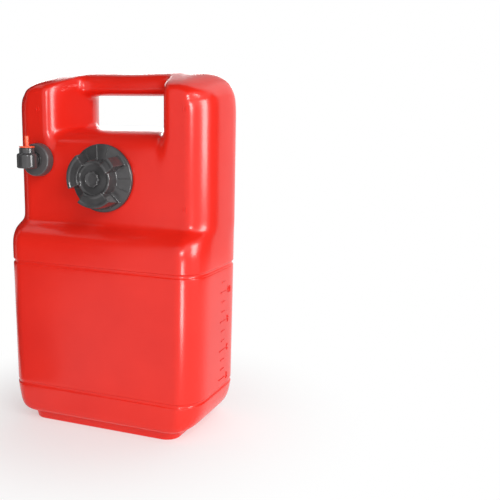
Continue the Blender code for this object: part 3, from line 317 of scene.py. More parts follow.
SPOUT_BORE = 0.017
SPOUT_RADIUS = 0.0195
FITTING_BORE = 0.0125
FITTING_RADIUS = 0.0168
print("tank:", 2000 * UPPER_HALF_WIDTH, "mm wide,", 1000 * TANK_HEIGHT, "mm high")

# %% [markdown]
# Every control point has a loop, a column and a row. The functions below turn these three
# numbers and the sizes above into a place, and then join the places with faces.

# %% Control points of the shell
def shell_form(inset, grooves):
    """The control points of the shell, or of the cavity when inset by the wall."""
    form = SimpleNamespace()
    form.inset = inset
    form.top = TANK_HEIGHT - inset
    form.bottom = FOOT_HEIGHT + inset
    form.outline_radius = OUTLINE_CORNER_RADIUS - inset
    form.hole_bottom = HOLE_BOTTOM_Z - inset
    form.hole_top = HOLE_TOP_Z + inset
    form.rows = make_rows(form, grooves)
    form.columns = make_columns(form)
    return form


def make_rows(form, grooves):
    """Heights of the rows, each with its front, its groove depth and its ring."""
    low_front = LOWER_FRONT_Y + form.inset
    high_front = UPPER_FRONT_Y + form.inset
    rows = [(form.bottom + CORNER_START_SHARE * BOTTOM_EDGE_RADIUS, low_front, 0.0, None)]
    for height in GROOVE_HEIGHTS if grooves else ():
        for offset, depth in GROOVE_SECTION:
            rows.append((height + offset, low_front, depth, None))
    middle = GROOVE_HEIGHTS[0] + 0.5 * (GROOVE_HEIGHTS[1] - GROOVE_HEIGHTS[0])
    rows.append((middle, low_front, 0.0, None))
    if not grooves:
        rows.append((form.bottom + 2 * OUTLINE_CORNER_RADIUS, low_front, 0.0, None))
    step = high_front - low_front
    for rise_share, step_share in SHOULDER_ROW_SHARES:
        height = SHOULDER_BOTTOM_Z + rise_share * SHOULDER_HEIGHT - form.inset
        rows.append((height, low_front + step_share * step, 0.0, None))
    rows.append((SHOULDER_TOP_Z + SHOULDER_BLEND, high_front, 0.0, None))
    rows.append((FILLER_Z, high_front, 0.0, None))
    for ring in (3, 2, 1, 0):
        height = form.hole_bottom - RING_FLOOR_SHARES[ring] * RECESS_FLOOR_DROP
        rows.append((height, high_front, 0.0, ring))
    rows.append((HOLE_BOTTOM_Z + HOLE_CORNER_RADIUS, high_front, 0.0, 0))
    rows.append((HOLE_TOP_Z - HOLE_CORNER_RADIUS, high_front, 0.0, 0))
    rows.append((form.hole_top, high_front, 0.0, 0))
    rows.append((form.hole_top + GRIP_SHOULDER, high_front, 0.0, -1))
    rows.append((form.top - CORNER_START_SHARE * TOP_EDGE_RADIUS, high_front, 0.0, -1))
    return sorted(rows, key=lambda row: row[0])


def make_columns(form):
    """Distances of the columns from the middle, each with its ring."""
    slot = HOLE_HALF_WIDTH + form.inset
    columns = [(0.0, 0), (SLOT_COLUMN_SHARE * slot, 0)]
    for ring in range(4):
        columns.append((slot + RING_WIDTH_SHARES[ring] * RECESS_WALL_RUN, ring))
    columns.append((slot + EAR_FLAT_SHARE * RECESS_WALL_RUN, 4))
    columns.append((UPPER_HALF_WIDTH - OUTLINE_CORNER_RADIUS, 4))
    last = UPPER_HALF_WIDTH - form.inset - CORNER_START_SHARE * FRONT_CORNER_RADIUS
    columns.append((last, 4))
    return columns


def half_width(form, height):
    """Half the width at a height: the lower body is drafted towards the foot."""
    fall = max(0.0, SHOULDER_BOTTOM_Z - height) / SHOULDER_BOTTOM_Z
    return UPPER_HALF_WIDTH - LOWER_DRAFT * fall - form.inset


def sheet_y(form, side, column, row):
    """Depth of a control point on the front (0) or the back (1) sheet."""
    x, column_ring = form.columns[column]
    height, front, groove, row_ring = form.rows[row]
    face = front if side == 0 else BACK_Y - form.inset
    sign = 1 if side == 0 else -1
    hole = HOLE_FRONT_Y if side == 0 else HOLE_BACK_Y
    grip = GRIP_FRONT_Y if side == 0 else GRIP_BACK_Y
    hole += sign * form.inset
    grip += sign * form.inset
    if row_ring is None or column_ring == 4:
        return face + sign * groove
    if row_ring == -1 and column_ring == 0:
        return grip
    ring = max(column_ring, row_ring)
    return face + RING_DEPTH_SHARES[ring] * (hole - face)


def sheet_point(form, side, column, row):
    """A control point on the front or the back sheet."""
    x, column_ring = form.columns[column]
    height, front, groove, row_ring = form.rows[row]
    y = sheet_y(form, side, column, row)
    spread = half_width(form, height) / (UPPER_HALF_WIDTH - form.inset)
    if column_ring == 4:
        x *= spread
    last_column = column == len(form.columns) - 1
    if last_column and side == 1:
        x += CORNER_START_SHARE * (FRONT_CORNER_RADIUS - BACK_CORNER_RADIUS)
    if last_column and row == 0:
        x -= CORNER_INSET_SHARE * (form.outline_radius / 2)
        height += CORNER_INSET_SHARE * (form.outline_radius / 2)
    if column == 0 and row_ring == -1:
        height -= GRIP_SAG
    return (x, y, height)


def shape_top(form, point):
    """Bend a control point into the round upper corner, and slope the ears to the front."""
    x, y, height = point
    radius = TOP_CORNER_RADIUS - form.inset
    aside = (x - UPPER_HALF_WIDTH + TOP_CORNER_RADIUS) / radius
    above = (height - TANK_HEIGHT + TOP_CORNER_RADIUS) / radius
    if aside > 0 and above > 0:
        pull = max(aside, above) / hypot(aside, above) - 1
        x += pull * aside * radius
        height += pull * above * radius
    share = (height - TOP_SLOPE_START) / (TOP_SLOPE_FULL - TOP_SLOPE_START)
    share = min(1.0, max(0.0, share))
    forward = min(1.0, max(0.0, (TOP_CREST_Y - y) / (TOP_CREST_Y - UPPER_FRONT_Y)))
    lift = TOP_RISE - (TOP_RISE + TOP_DIP) * forward
    return (x, y, height + lift * share * share * (3 - 2 * share))


def cage_point(form, loop, column, row):
    """A control point of the cage; loops 0 and 5 are the edges of the two sheets."""
    if loop in (0, 5):
        return shape_top(form, sheet_point(form, 0 if loop == 0 else 1, column, row))
    return shape_top(form, rim_point(form, loop, column, row))


def rim_point(form, loop, column, row):
    """A control point on the rim between the sheets, before the top is shaped."""
    x, front, height = sheet_point(form, 0, column, row)
    back = sheet_point(form, 1, column, row)[1]
    groove = form.rows[row][2]
    side = column == len(form.columns) - 1
    top = row == len(form.rows) - 1
    bottom = row == 0
    inset = CORNER_INSET_SHARE * form.outline_radius
    front_start = CORNER_START_SHARE * FRONT_CORNER_RADIUS
    back_start = CORNER_START_SHARE * BACK_CORNER_RADIUS
    if not side:
        edge = TOP_EDGE_RADIUS if top else BOTTOM_EDGE_RADIUS
        front_start = back_start = CORNER_START_SHARE * edge
    depths = (front + front_start, front + RIM_DEPTH_SHARES[0] * (back - front),
              front + RIM_DEPTH_SHARES[1] * (back - front), back - back_start)
    y = depths[loop - 1]
    if side:
        x = half_width(form, form.rows[row][0]) - groove
    if top:
        height = form.top
    if bottom:
        height = form.bottom
    if side and bottom:
        x -= inset
        height += inset
    if top and column == 0:
        height -= GRIP_SAG
    return (x, y, height)


def in_hole(form, column, row):
    """Whether the cell above and outside a control point is part of the slot."""
    inside = form.columns[column + 1][0] <= HOLE_HALF_WIDTH + form.inset + MERGE_DISTANCE
    low = form.rows[row][0] >= form.hole_bottom - MERGE_DISTANCE
    high = form.rows[row + 1][0] <= form.hole_top + MERGE_DISTANCE
    return inside and low and high


def form_mesh(form, name):
    """The right half of the form, open at the middle plane."""
    cage = bmesh.new()
    points = {}

    def point(loop, column, row):
        key = (loop, column, row)
        if key not in points:
            points[key] = cage.verts.new(cage_point(form, loop, column, row))
        return points[key]

    columns = len(form.columns)
    rows = len(form.rows)
    for column in range(columns - 1):
        for row in range(rows - 1):
            if in_hole(form, column, row):
                continue
            corners = ((column, row), (column + 1, row), (column + 1, row + 1), (column, row + 1))
            cage.faces.new([point(0, *corner) for corner in corners])
            cage.faces.new([point(5, *corner) for corner in reversed(corners)])
    path = [(column, 0) for column in range(columns)]
    path += [(columns - 1, row) for row in range(1, rows)]
    path += [(column, rows - 1) for column in range(columns - 2, -1, -1)]
    for start, end in zip(path, path[1:]):
        for loop in range(5):
            cage.faces.new((point(loop, *start), point(loop + 1, *start),
                            point(loop + 1, *end), point(loop, *end)))
    bridge_hole(form, cage, point)
    mesh = bpy.data.meshes.new(name)
    cage.to_mesh(mesh)
    cage.free()
    mesh.shade_smooth()
    return mesh


def bridge_hole(form, cage, point):
    """The walls of the slot, between the two sheets, with a raised middle."""
    edge = 2
    crease = cage.edges.layers.float.new("crease_edge")
    low = min(row for row in range(len(form.rows) - 1) if in_hole(form, 0, row))
    high = max(row for row in range(len(form.rows) - 1) if in_hole(form, 0, row)) + 1
    path = [(column, low) for column in range(edge + 1)]
    path += [(edge, row) for row in range(low + 1, high + 1)]
    path += [(column, high) for column in range(edge - 1, -1, -1)]
    middles = {}
    for column, row in path:
        x, front, height = sheet_point(form, 0, column, row)
        back = sheet_point(form, 1, column, row)[1]
        x -= HOLE_LIP if column == edge else 0.0
        height += HOLE_LIP if row == low else -HOLE_LIP if row == high else 0.0
        place = shape_top(form, (x, (front + back) / 2, height))
        middles[column, row] = cage.verts.new(place)
    for start, end in zip(path, path[1:]):
        near = (point(0, *start), point(0, *end))
        far = (point(5, *start), point(5, *end))
        middle = (middles[start], middles[end])
        cage.faces.new((near[1], middle[1], middle[0], near[0]))
        cage.faces.new((middle[1], far[1], far[0], middle[0]))
        if start[1] < high or end[1] < high:
            cage.edges.get(near)[crease] = SLOT_CREASE

# %% [markdown]
# Half of the cage is enough, since the left and right halves are alike. A mirror makes the
# other half, and the subdivision then rounds both as one closed skin. The same recipe, moved
# in by the wall's three millimetres, gives the cavity. Booleans cut it out, and the two
# passages under the cap and the fuel fitting with it, so that an open tank shows a real wall.

# %% Round the shell and hollow it out
SHELL_LEVELS = 3
CAVITY_LEVELS = 2
MERGE_DISTANCE = 0.00001


def settle(piece, place=None):
    """Turn the modifiers into plain mesh at its place, with the object itself at the origin."""
    bpy.context.view_layer.update()
    graph = bpy.context.evaluated_depsgraph_get()
    mesh = bpy.data.meshes.new_from_object(piece.evaluated_get(graph), depsgraph=graph)
    piece.modifiers.clear()
    piece.data = mesh
    if place is not None:
        mesh.transform(place)
    return piece


def show(name, mesh, material=None):
    """Put a mesh in the scene, with one material if given."""
    piece = bpy.data.objects.new(name, mesh)
    bpy.context.scene.collection.objects.link(piece)
    if material is not None:
        mesh.materials.clear()
        mesh.materials.append(material)
    return piece


def smooth(piece, degrees=32):
    """Smooth shading, with edges sharper than the angle kept crisp."""
    piece.data.shade_smooth()
    piece.data.set_sharp_from_angle(angle=radians(degrees))
    return piece


def rounded_half(name, inset, grooves, levels):
    """A closed rounded form from one half of the cage."""
    piece = show(name, form_mesh(shell_form(inset, grooves), name))
    mirror = piece.modifiers.new("other_half", "MIRROR")
    mirror.use_clip = True
    mirror.merge_threshold = MERGE_DISTANCE
    rounding = piece.modifiers.new("rounding", "SUBSURF")
    rounding.levels = levels
    rounding.render_levels = levels
    return settle(piece)


def combine(piece, other, operation, solver="EXACT"):
    """Join or cut with another object, which is used up."""
    boolean = piece.modifiers.new("combine", "BOOLEAN")
    boolean.operation = operation
    boolean.solver = solver
    boolean.object = other
    settle(piece)
    bpy.data.objects.remove(other, do_unlink=True)


def foot_mesh(name, inset, top, edge):
    """The drafted foot with rounded upright corners, and a small radius on its lower rim."""
    mesh = bpy.data.meshes.new(name)
    cage = bmesh.new()
    bmesh.ops.create_cube(cage, size=2.0)
    upright = [e for e in cage.edges if e.verts[0].co.z != e.verts[1].co.z]
    for vertex in cage.verts:
        upper = vertex.co.z > 0
        half = UPPER_HALF_WIDTH - FOOT_SIDE_INSET - (0 if upper else FOOT_DRAFT) - inset
        vertex.co.x *= half
        back = BACK_Y - FOOT_END_INSET - inset
        front = LOWER_FRONT_Y + FOOT_END_INSET + inset
        vertex.co.y = back if vertex.co.y > 0 else front
        vertex.co.z = top if upper else inset
    bmesh.ops.bevel(cage, geom=upright, offset=FOOT_CORNER_RADIUS - inset, segments=12,
                    profile=0.5, affect="EDGES")
    if edge:
        rim = [e for e in cage.edges if max(v.co.z for v in e.verts) < inset + MERGE_DISTANCE]
        bmesh.ops.bevel(cage, geom=rim, offset=edge, segments=4, profile=0.5, affect="EDGES")
    cage.to_mesh(mesh)
    cage.free()
    return mesh


def front_stub(name, x, z, radius, low, high):
    """A plain round bar that stands out of the upper front face."""
    mesh = bpy.data.meshes.new(name)
    cage = bmesh.new()
    middle = Matrix.Translation((x, UPPER_FRONT_Y - (low + high) / 2, z))
    bmesh.ops.create_cone(cage, cap_ends=True, segments=96, radius1=radius, radius2=radius,
                          depth=high - low, matrix=middle @ Matrix.Rotation(pi / 2, 4, "X"))
    cage.to_mesh(mesh)
    cage.free()
    return show(name, mesh)


shell = rounded_half("fuel_tank_shell", 0.0, True, SHELL_LEVELS)
combine(shell, show("foot", foot_mesh("foot", 0.0, FOOT_HEIGHT + 0.004, 0.0015)), "UNION")
cavity = rounded_half("cavity", WALL, False, CAVITY_LEVELS)
room = show("foot_room", foot_mesh("foot_room", WALL, FOOT_HEIGHT + WALL + 0.004, 0))
combine(cavity, room, "UNION")
combine(shell, cavity, "DIFFERENCE")
for x, z, radius in ((FILLER_X, FILLER_Z, SPOUT_BORE), (FITTING_X, FITTING_Z, FITTING_BORE)):
    passage = front_stub("passage", x, z, radius, -WALL - 0.004, 0.004)
    combine(shell, passage, "DIFFERENCE")
shell.data.materials.clear()
shell.data.materials.append(RED)
smooth(shell)
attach(shell, "tank")
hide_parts("tank_shell")
print("shell:", len(shell.data.polygons), "faces")

# %% [markdown]
# Most of the other pieces are round, and they come from a section that turns about an axis,
# the way a lathe cuts them. A moulded edge is never a knife edge, so each corner of a section
# may name a small radius, and a short arc takes its place. These arcs catch the lamps as thin
# bright lines, which is how the eye reads black plastic.

# %% Turned pieces with rounded corners
ARC_STEPS = 5
TURN_STEPS = 96
AT_FILLER = Matrix.Translation((FILLER_X, UPPER_FRONT_Y, FILLER_Z)) @ Matrix.Rotation(pi / 2, 4, "X")
AT_FITTING = Matrix.Translation((FITTING_X, UPPER_FRONT_Y, FITTING_Z)) @ Matrix.Rotation(pi / 2, 4, "X")
AT_SOCKET = Matrix.Translation((FITTING_X, ELBOW_Y, FITTING_Z))


def rounded(points, closed):
    """Replace each corner (radius, height, fillet) of a section by a short arc."""
    line = []
    count = len(points)
    for i, (x, y, *fillet) in enumerate(points):
        corner = Vector((x, y))
        if not fillet or (not closed and i in (0, count - 1)):
            line.append(corner)
            continue
        to_last = Vector(points[i - 1][:2]) - corner
        to_next = Vector(points[(i + 1) % count][:2]) - corner
        reach = min(fillet[0], 0.45 * to_last.length, 0.45 * to_next.length)
        start = corner + reach * to_last.normalized()
        end = corner + reach * to_next.normalized()
        for step in range(ARC_STEPS + 1):
            t = step / ARC_STEPS
            line.append((1 - t) ** 2 * start + 2 * t * (1 - t) * corner + t ** 2 * end)
    return line


def turned(name, points, place, material=None, closed=True, steps=TURN_STEPS):
    """A piece turned about its own Z axis, then put in place."""
    line = rounded(points, closed)
    edges = [(i, i + 1) for i in range(len(line) - 1)]
    if closed:
        edges.append((len(line) - 1, 0))
    mesh = bpy.data.meshes.new(name)
    mesh.from_pydata([(point.x, 0, point.y) for point in line], edges, [])
    piece = show(name, mesh)
    screw = piece.modifiers.new("turn", "SCREW")
    screw.steps = steps
    screw.render_steps = steps
    screw.use_merge_vertices = True
    screw.merge_threshold = MERGE_DISTANCE
    settle(piece, place)
    cage = bmesh.new()
    cage.from_mesh(piece.data)
    bmesh.ops.recalc_face_normals(cage, faces=cage.faces)
    cage.to_mesh(piece.data)
    cage.free()
    if material is not None:
        piece.data.materials.clear()
        piece.data.materials.append(material)
    return smooth(piece)


def dress(piece, body, slot, *nodes):
    """Tie a finished piece to its body and hide the nodes that it stands for; the slot is not used."""
    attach(piece, body)
    if nodes:
        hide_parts(*nodes)
    return piece


spout = turned("filler_spout", [
    (SPOUT_BORE, 0.016, 0.0008), (SPOUT_RADIUS, 0.016, 0.0008), (SPOUT_RADIUS, 0.002, 0.001),
    (SPOUT_RADIUS + 0.0008, -WALL / 2), (SPOUT_BORE, -WALL / 2)], AT_FILLER, RED)
fitting_spout = turned("fitting_spout", [
    (FITTING_BORE, 0.0055, 0.0006), (FITTING_RADIUS, 0.0055, 0.0006),
    (FITTING_RADIUS, -WALL / 2), (FITTING_BORE, -WALL / 2)], AT_FITTING, RED)
for piece in (spout, fitting_spout):
    dress(piece, "tank", "red_hdpe")
print("spouts: 39 mm and 33.6 mm across, moulded with the shell")

# %% [markdown]
# Screw threads, coil springs and radial ribs repeat one small shape along a path or round a
# circle. Geometry Nodes suit them: the group holds the rule, and named inputs hold the sizes,
# so one group makes the coarse thread of the spout, the inner thread of the liner and the
# fine spring under the valve ball. Each result is then kept as a plain mesh.

# %% Geometry Nodes: a helix and a wheel of ribs
def new_group(name, inputs):
    """An empty geometry group with named inputs, and its input node."""
    group = bpy.data.node_groups.new(name, "GeometryNodeTree")
    group.interface.new_socket("Geometry", in_out="INPUT", socket_type="NodeSocketGeometry")
    for label, kind in inputs:
        group.interface.new_socket(label, in_out="INPUT", socket_type=kind)
    group.interface.new_socket("Geometry", in_out="OUTPUT", socket_type="NodeSocketGeometry")
    return group, add_node(group, "NodeGroupInput").outputs


def close_group(group, geometry, material):
    """End a group with realized instances, smooth shading and a material."""
    real = add_node(group, "GeometryNodeRealizeInstances", None, None, {"Geometry": geometry})
    soft = add_node(group, "GeometryNodeSetShadeSmooth", None, None,
                    {"Geometry": real.outputs["Geometry"]})
    coat = add_node(group, "GeometryNodeSetMaterial", None, {"Material": material},
                    {"Geometry": soft.outputs["Geometry"]})
    add_node(group, "NodeGroupOutput", None, None, {"Geometry": coat.outputs["Geometry"]})
    return group


def grow(name, group, values, place):
    """Run a group with these values and keep what it makes as a mesh."""
    piece = show(name, bpy.data.meshes.new(name))
    modifier = piece.modifiers.new(name, "NODES")
    modifier.node_group = group
    for item in group.interface.items_tree:
        if item.in_out == "INPUT" and item.name in values:
            modifier[item.identifier] = values[item.name]
    return settle(piece, place)


def math(group, operation, first, second):
    """One math node; each side is a socket or a number."""
    node = add_node(group, "ShaderNodeMath", {"operation": operation})
    for place, value in enumerate((first, second)):
        if isinstance(value, (int, float)):
            node.inputs[place].default_value = value
        else:
            group.links.new(value, node.inputs[place])
    return node.outputs[0]


def helix_group(name, material):
    """A round or flattened wire that climbs round the Z axis."""
    group, sizes = new_group(name, (
        ("Radius", "NodeSocketFloat"), ("Pitch", "NodeSocketFloat"),
        ("Turns", "NodeSocketFloat"), ("Wire", "NodeSocketFloat")))
    spiral = add_node(group, "GeometryNodeCurveSpiral", None, {"Resolution": 72}, {
        "Start Radius": sizes["Radius"], "End Radius": sizes["Radius"],
        "Rotations": sizes["Turns"],
        "Height": math(group, "MULTIPLY", sizes["Pitch"], sizes["Turns"])})
    section = add_node(group, "GeometryNodeCurvePrimitiveCircle", None, {"Resolution": 10},
                       {"Radius": sizes["Wire"]})
    wire = add_node(group, "GeometryNodeCurveToMesh", None, {"Fill Caps": True}, {
        "Curve": spiral.outputs["Curve"], "Profile Curve": section.outputs["Curve"]})
    return close_group(group, wire.outputs["Mesh"], material)


def rib_group(name, material):
    """Rounded radial ribs, evenly spaced, that slope from an inner to an outer point."""
    group, sizes = new_group(name, (
        ("Count", "NodeSocketInt"), ("First", "NodeSocketFloat"), ("Width", "NodeSocketFloat"),
        ("Inner", "NodeSocketVector"), ("Outer", "NodeSocketVector")))
    line = add_node(group, "GeometryNodeCurvePrimitiveLine", None, None,
                    {"Start": sizes["Inner"], "End": sizes["Outer"]})
    section = add_node(group, "GeometryNodeCurvePrimitiveCircle", None, {"Resolution": 14},
                       {"Radius": math(group, "MULTIPLY", sizes["Width"], 0.5)})
    rib = add_node(group, "GeometryNodeCurveToMesh", None, {"Fill Caps": True}, {
        "Curve": line.outputs["Curve"], "Profile Curve": section.outputs["Curve"]})
    dots = add_node(group, "GeometryNodePoints", None, None, {"Count": sizes["Count"]})
    index = add_node(group, "GeometryNodeInputIndex").outputs["Index"]
    step = math(group, "DIVIDE", 2 * pi, sizes["Count"])
    heading = math(group, "ADD", math(group, "MULTIPLY", index, step), sizes["First"])
    turn = add_node(group, "ShaderNodeCombineXYZ", None, None, {"Z": heading})
    ring = add_node(group, "GeometryNodeInstanceOnPoints", None, None, {
        "Points": dots.outputs["Points"], "Instance": rib.outputs["Mesh"],
        "Rotation": turn.outputs["Vector"]})
    return close_group(group, ring.outputs["Instances"], material)


red_thread = helix_group("moulded_thread", RED)
thread = grow("filler_spout_thread", red_thread, {
    "Radius": SPOUT_RADIUS - 0.0003, "Pitch": 0.004, "Turns": 2.4, "Wire": 0.0007},
    AT_FILLER @ Matrix.Translation((0, 0, 0.0035)))
dress(thread, "tank", "red_hdpe")
nut_thread = grow("fitting_spout_thread", red_thread, {
    "Radius": FITTING_RADIUS - 0.00035, "Pitch": 0.0018, "Turns": 1.6, "Wire": 0.0005},
    AT_FITTING @ Matrix.Translation((0, 0, 0.0014)))
dress(nut_thread, "tank", "red_hdpe")
print("threads:", len(thread.data.polygons) + len(nut_thread.data.polygons), "faces")

# %% [markdown]
# The cap carries the picture's richest dark tones. It has a round flange, a floor that slopes
# up to a core, two wide wings and a narrow one to turn it by, and a dished hub. Its parts are
# joined first and then remeshed on a fine grid and relaxed a little, which melts every inner
# and outer corner into the small fillets that a steel mould leaves. The ribs are added after
# that, because they are finer than the grid.

# %% The winged cap
CAP_GRID = 0.00055
CAP_RELAX = 2
WING_SPREAD = radians(125)
WING_ANGLE = radians(76)
CAP_AXIS = radians(38.5)
TAB_WIDTH = 0.0135
CORE_RADIUS = 0.025
CORE_TOP_RADIUS = 0.0236
FLOOR_RADIUS = 0.0415
CAP_RADIUS = 0.044
HUB_RADIUS = 0.0195
WING_INNER = 0.0205
WING_BASE = 0.0395
WING_RADIUS = 0.0365
FLANGE_HEIGHT = 0.0058
FLOOR_TOP = 0.0095
ROOM_TOP = 0.021
HUB_HEIGHT = 0.024
CAP_HEIGHT = 0.030
SHAFT_BORE = 0.0033


def melt(piece, grid, relax):
    """Remesh a piece on a fine grid and relax it, so that its corners become fillets."""
    remesh = piece.modifiers.new("grid", "REMESH")
    remesh.mode = "VOXEL"
    remesh.voxel_size = grid
    remesh.use_smooth_shade = True
    ease = piece.modifiers.new("ease", "SMOOTH")
    ease.factor = 0.5
    ease.iterations = relax
    return settle(piece)


def wing_cutter(name, width_angle, centres, inner, outer, bottom, top):
    """Upright wedges round the Z axis that pick the wings out of a turned ring."""
    mesh = bpy.data.meshes.new(name)
    cage = bmesh.new()
    for centre in centres:
        outline = [(inner, -0.5)] + [(outer, step / 10 - 0.5) for step in range(11)] + [(inner, 0.5)]
        loops = [[cage.verts.new((radius * cos(centre + share * width_angle),
                                  radius * sin(centre + share * width_angle), height))
                  for radius, share in outline] for height in (bottom, top)]
        cage.faces.new(list(reversed(loops[0])))
        cage.faces.new(loops[1])
        for i in range(len(outline)):
            j = (i + 1) % len(outline)
            cage.faces.new((loops[0][i], loops[0][j], loops[1][j], loops[1][i]))
    cage.to_mesh(mesh)
    cage.free()
    return show(name, mesh)


def bar_cutter(name, heading, width, inner, outer, bottom, top):
    """A box that stands like one spoke."""
    mesh = bpy.data.meshes.new(name)
    cage = bmesh.new()
    middle = Matrix.Translation(((inner + outer) / 2, 0, (bottom + top) / 2))
    size = Matrix.Diagonal((outer - inner, width, top - bottom, 1))
    bmesh.ops.create_cube(cage, size=1.0, matrix=Matrix.Rotation(heading, 4, "Z") @ middle @ size)
    cage.to_mesh(mesh)
    cage.free()
    return show(name, mesh)


HERE = Matrix.Identity(4)
cap = turned("filler_cap", [
    (SHAFT_BORE, HUB_HEIGHT), (HUB_RADIUS, HUB_HEIGHT),
    (HUB_RADIUS + 0.001, HUB_HEIGHT + 0.0012), (CORE_TOP_RADIUS - 0.0008, HUB_HEIGHT + 0.0012),
    (CORE_TOP_RADIUS, HUB_HEIGHT), (CORE_RADIUS, FLOOR_TOP),
    (FLOOR_RADIUS, FLANGE_HEIGHT), (CAP_RADIUS - 0.001, FLANGE_HEIGHT),
    (CAP_RADIUS, FLANGE_HEIGHT - 0.001), (CAP_RADIUS, 0.0008), (CAP_RADIUS - 0.0022, 0.0008),
    (CAP_RADIUS - 0.0022, FLANGE_HEIGHT - 0.0022), (FLOOR_RADIUS, FLANGE_HEIGHT - 0.0022),
    (CORE_RADIUS, FLOOR_TOP - 0.0022), (CORE_RADIUS, 0.0008), (LINER_ROOM, 0.0008),
    (LINER_ROOM, ROOM_TOP - 0.0025), (LINER_ROOM - 0.0025, ROOM_TOP), (SHAFT_BORE, ROOM_TOP)],
    HERE)
wings = turned("wings", [
    (WING_INNER, CAP_HEIGHT), (WING_INNER + 0.0026, CAP_HEIGHT),
    (WING_INNER + 0.0036, CAP_HEIGHT - 0.001), (WING_RADIUS - 0.0046, CAP_HEIGHT - 0.001),
    (WING_RADIUS - 0.0036, CAP_HEIGHT), (WING_RADIUS - 0.0006, CAP_HEIGHT),
    (WING_RADIUS, CAP_HEIGHT - 0.0006), (WING_BASE, FLANGE_HEIGHT - 0.001),
    (CORE_RADIUS - 0.001, FLOOR_TOP - 0.001), (CORE_RADIUS - 0.001, ROOM_TOP - 0.0025),
    (CORE_TOP_RADIUS - 0.001, HUB_HEIGHT - 0.0015), (WING_INNER, HUB_HEIGHT - 0.0015)], HERE)
picks = wing_cutter("picks", WING_ANGLE, (CAP_AXIS + WING_SPREAD, CAP_AXIS - WING_SPREAD),
                    0.005, 0.05, -0.002, 0.034)
combine(picks, bar_cutter("tab", CAP_AXIS, TAB_WIDTH, 0.015, 0.05, -0.002, 0.034), "UNION")
combine(wings, picks, "INTERSECT")
combine(cap, wings, "UNION")
melt(cap, CAP_GRID, CAP_RELAX)
cap.data.transform(AT_FILLER)
cap.data.materials.clear()
cap.data.materials.append(BLACK)
cap.data.shade_smooth()
dress(cap, "cap", "black_plastic", "cap_grip")
ribs = grow("cap_ribs", rib_group("radial_ribs", BLACK), {
    "Count": 15, "First": radians(2), "Width": 0.0013,
    "Inner": (CORE_RADIUS - 0.0005, 0, FLOOR_TOP + 0.0001),
    "Outer": (FLOOR_RADIUS + 0.0006, 0, FLANGE_HEIGHT + 0.0001)}, AT_FILLER)
dress(ribs, "cap", "black_plastic")
print("cap:", len(cap.data.polygons), "faces; 15 ribs, one every 24 degrees")

# %% [markdown]
# Under the wings sits the liner, whose inner thread holds the cap on the spout, and in the
# middle is the vent screw. Two turns of its lobed knob let air in while the engine draws fuel.
# The lobes are a cosine round the rim, deep enough for a fingertip to grip.

# %% Liner and vent screw
liner = turned("cap_liner_ring", [
    (SHAFT_BORE, 0.0207, 0.0003), (LINER_RADIUS - 0.0025, 0.0207, 0.0004),
    (LINER_RADIUS, 0.0182, 0.0004), (LINER_RADIUS, 0.002, 0.0005), (LINER_BORE, 0.002, 0.0005),
    (LINER_BORE, 0.0182, 0.0004), (SHAFT_BORE, 0.0182, 0.0003)], AT_FILLER, BLACK)
dress(liner, "cap", "black_plastic", "cap_liner")
liner_thread = grow("cap_liner_thread", helix_group("liner_thread", BLACK), {
    "Radius": LINER_BORE + 0.00045, "Pitch": 0.004, "Turns": 2.0, "Wire": 0.0006},
    AT_FILLER @ Matrix.Translation((0, 0, 0.0045)))
dress(liner_thread, "cap", "black_plastic")


def lobed_knob(name, radius, depth, lobes, section):
    """A knob whose rim is a cosine; the section lists (inset, height) from under to top."""
    mesh = bpy.data.meshes.new(name)
    cage = bmesh.new()
    count = lobes * 18
    loops = []
    for inset, height, hollow_share in section:
        loop = []
        for i in range(count):
            heading = 2 * pi * i / count
            hollow = hollow_share * depth * (1 - cos(heading * lobes)) / 2
            reach = radius - inset - hollow
            loop.append(cage.verts.new((reach * cos(heading), reach * sin(heading), height)))
        loops.append(loop)
    cage.faces.new(list(reversed(loops[0])))
    cage.faces.new(loops[-1])
    for low, high in zip(loops, loops[1:]):
        for i in range(count):
            j = (i + 1) % count
            cage.faces.new((low[i], low[j], high[j], high[i]))
    cage.to_mesh(mesh)
    cage.free()
    return show(name, mesh)


KNOB_BOTTOM = 0.026
KNOB_TOP = 0.0296
knob = lobed_knob("vent_screw_knob", 0.0105, 0.0009, 10, (
    (0.0006, KNOB_BOTTOM, 1.0), (0.0002, KNOB_BOTTOM + 0.0003, 1.0),
    (0.0, KNOB_BOTTOM + 0.0008, 1.0), (0.0, KNOB_TOP - 0.0008, 1.0),
    (0.0003, KNOB_TOP - 0.0003, 1.0), (0.0009, KNOB_TOP, 0.8), (0.0018, KNOB_TOP, 0.5),
    (0.0026, KNOB_TOP - 0.0004, 0.2), (0.0034, KNOB_TOP - 0.0006, 0.0),
    (0.0070, KNOB_TOP - 0.0006, 0.0), (0.0100, KNOB_TOP - 0.0006, 0.0)))
knob.data.transform(AT_FILLER)
knob.data.materials.append(BLACK)
smooth(knob)
shaft = turned("vent_screw_shaft", [
    (0, 0.0275), (0.0028, 0.0275), (0.0028, 0.0155, 0.0006), (0, 0.015)], AT_FILLER, BLACK,
    closed=False, steps=48)
shaft_thread = grow("vent_screw_thread", helix_group("vent_thread", BLACK), {
    "Radius": 0.0027, "Pitch": 0.0011, "Turns": 6.0, "Wire": 0.0003},
    AT_FILLER @ Matrix.Translation((0, 0, 0.0165)))
dress(knob, "vent", "black_plastic", "vent_screw")
for piece in (shaft, shaft_thread):
    dress(piece, "vent", "black_plastic")
print("vent knob: 21 mm across,", len(knob.data.polygons), "faces")
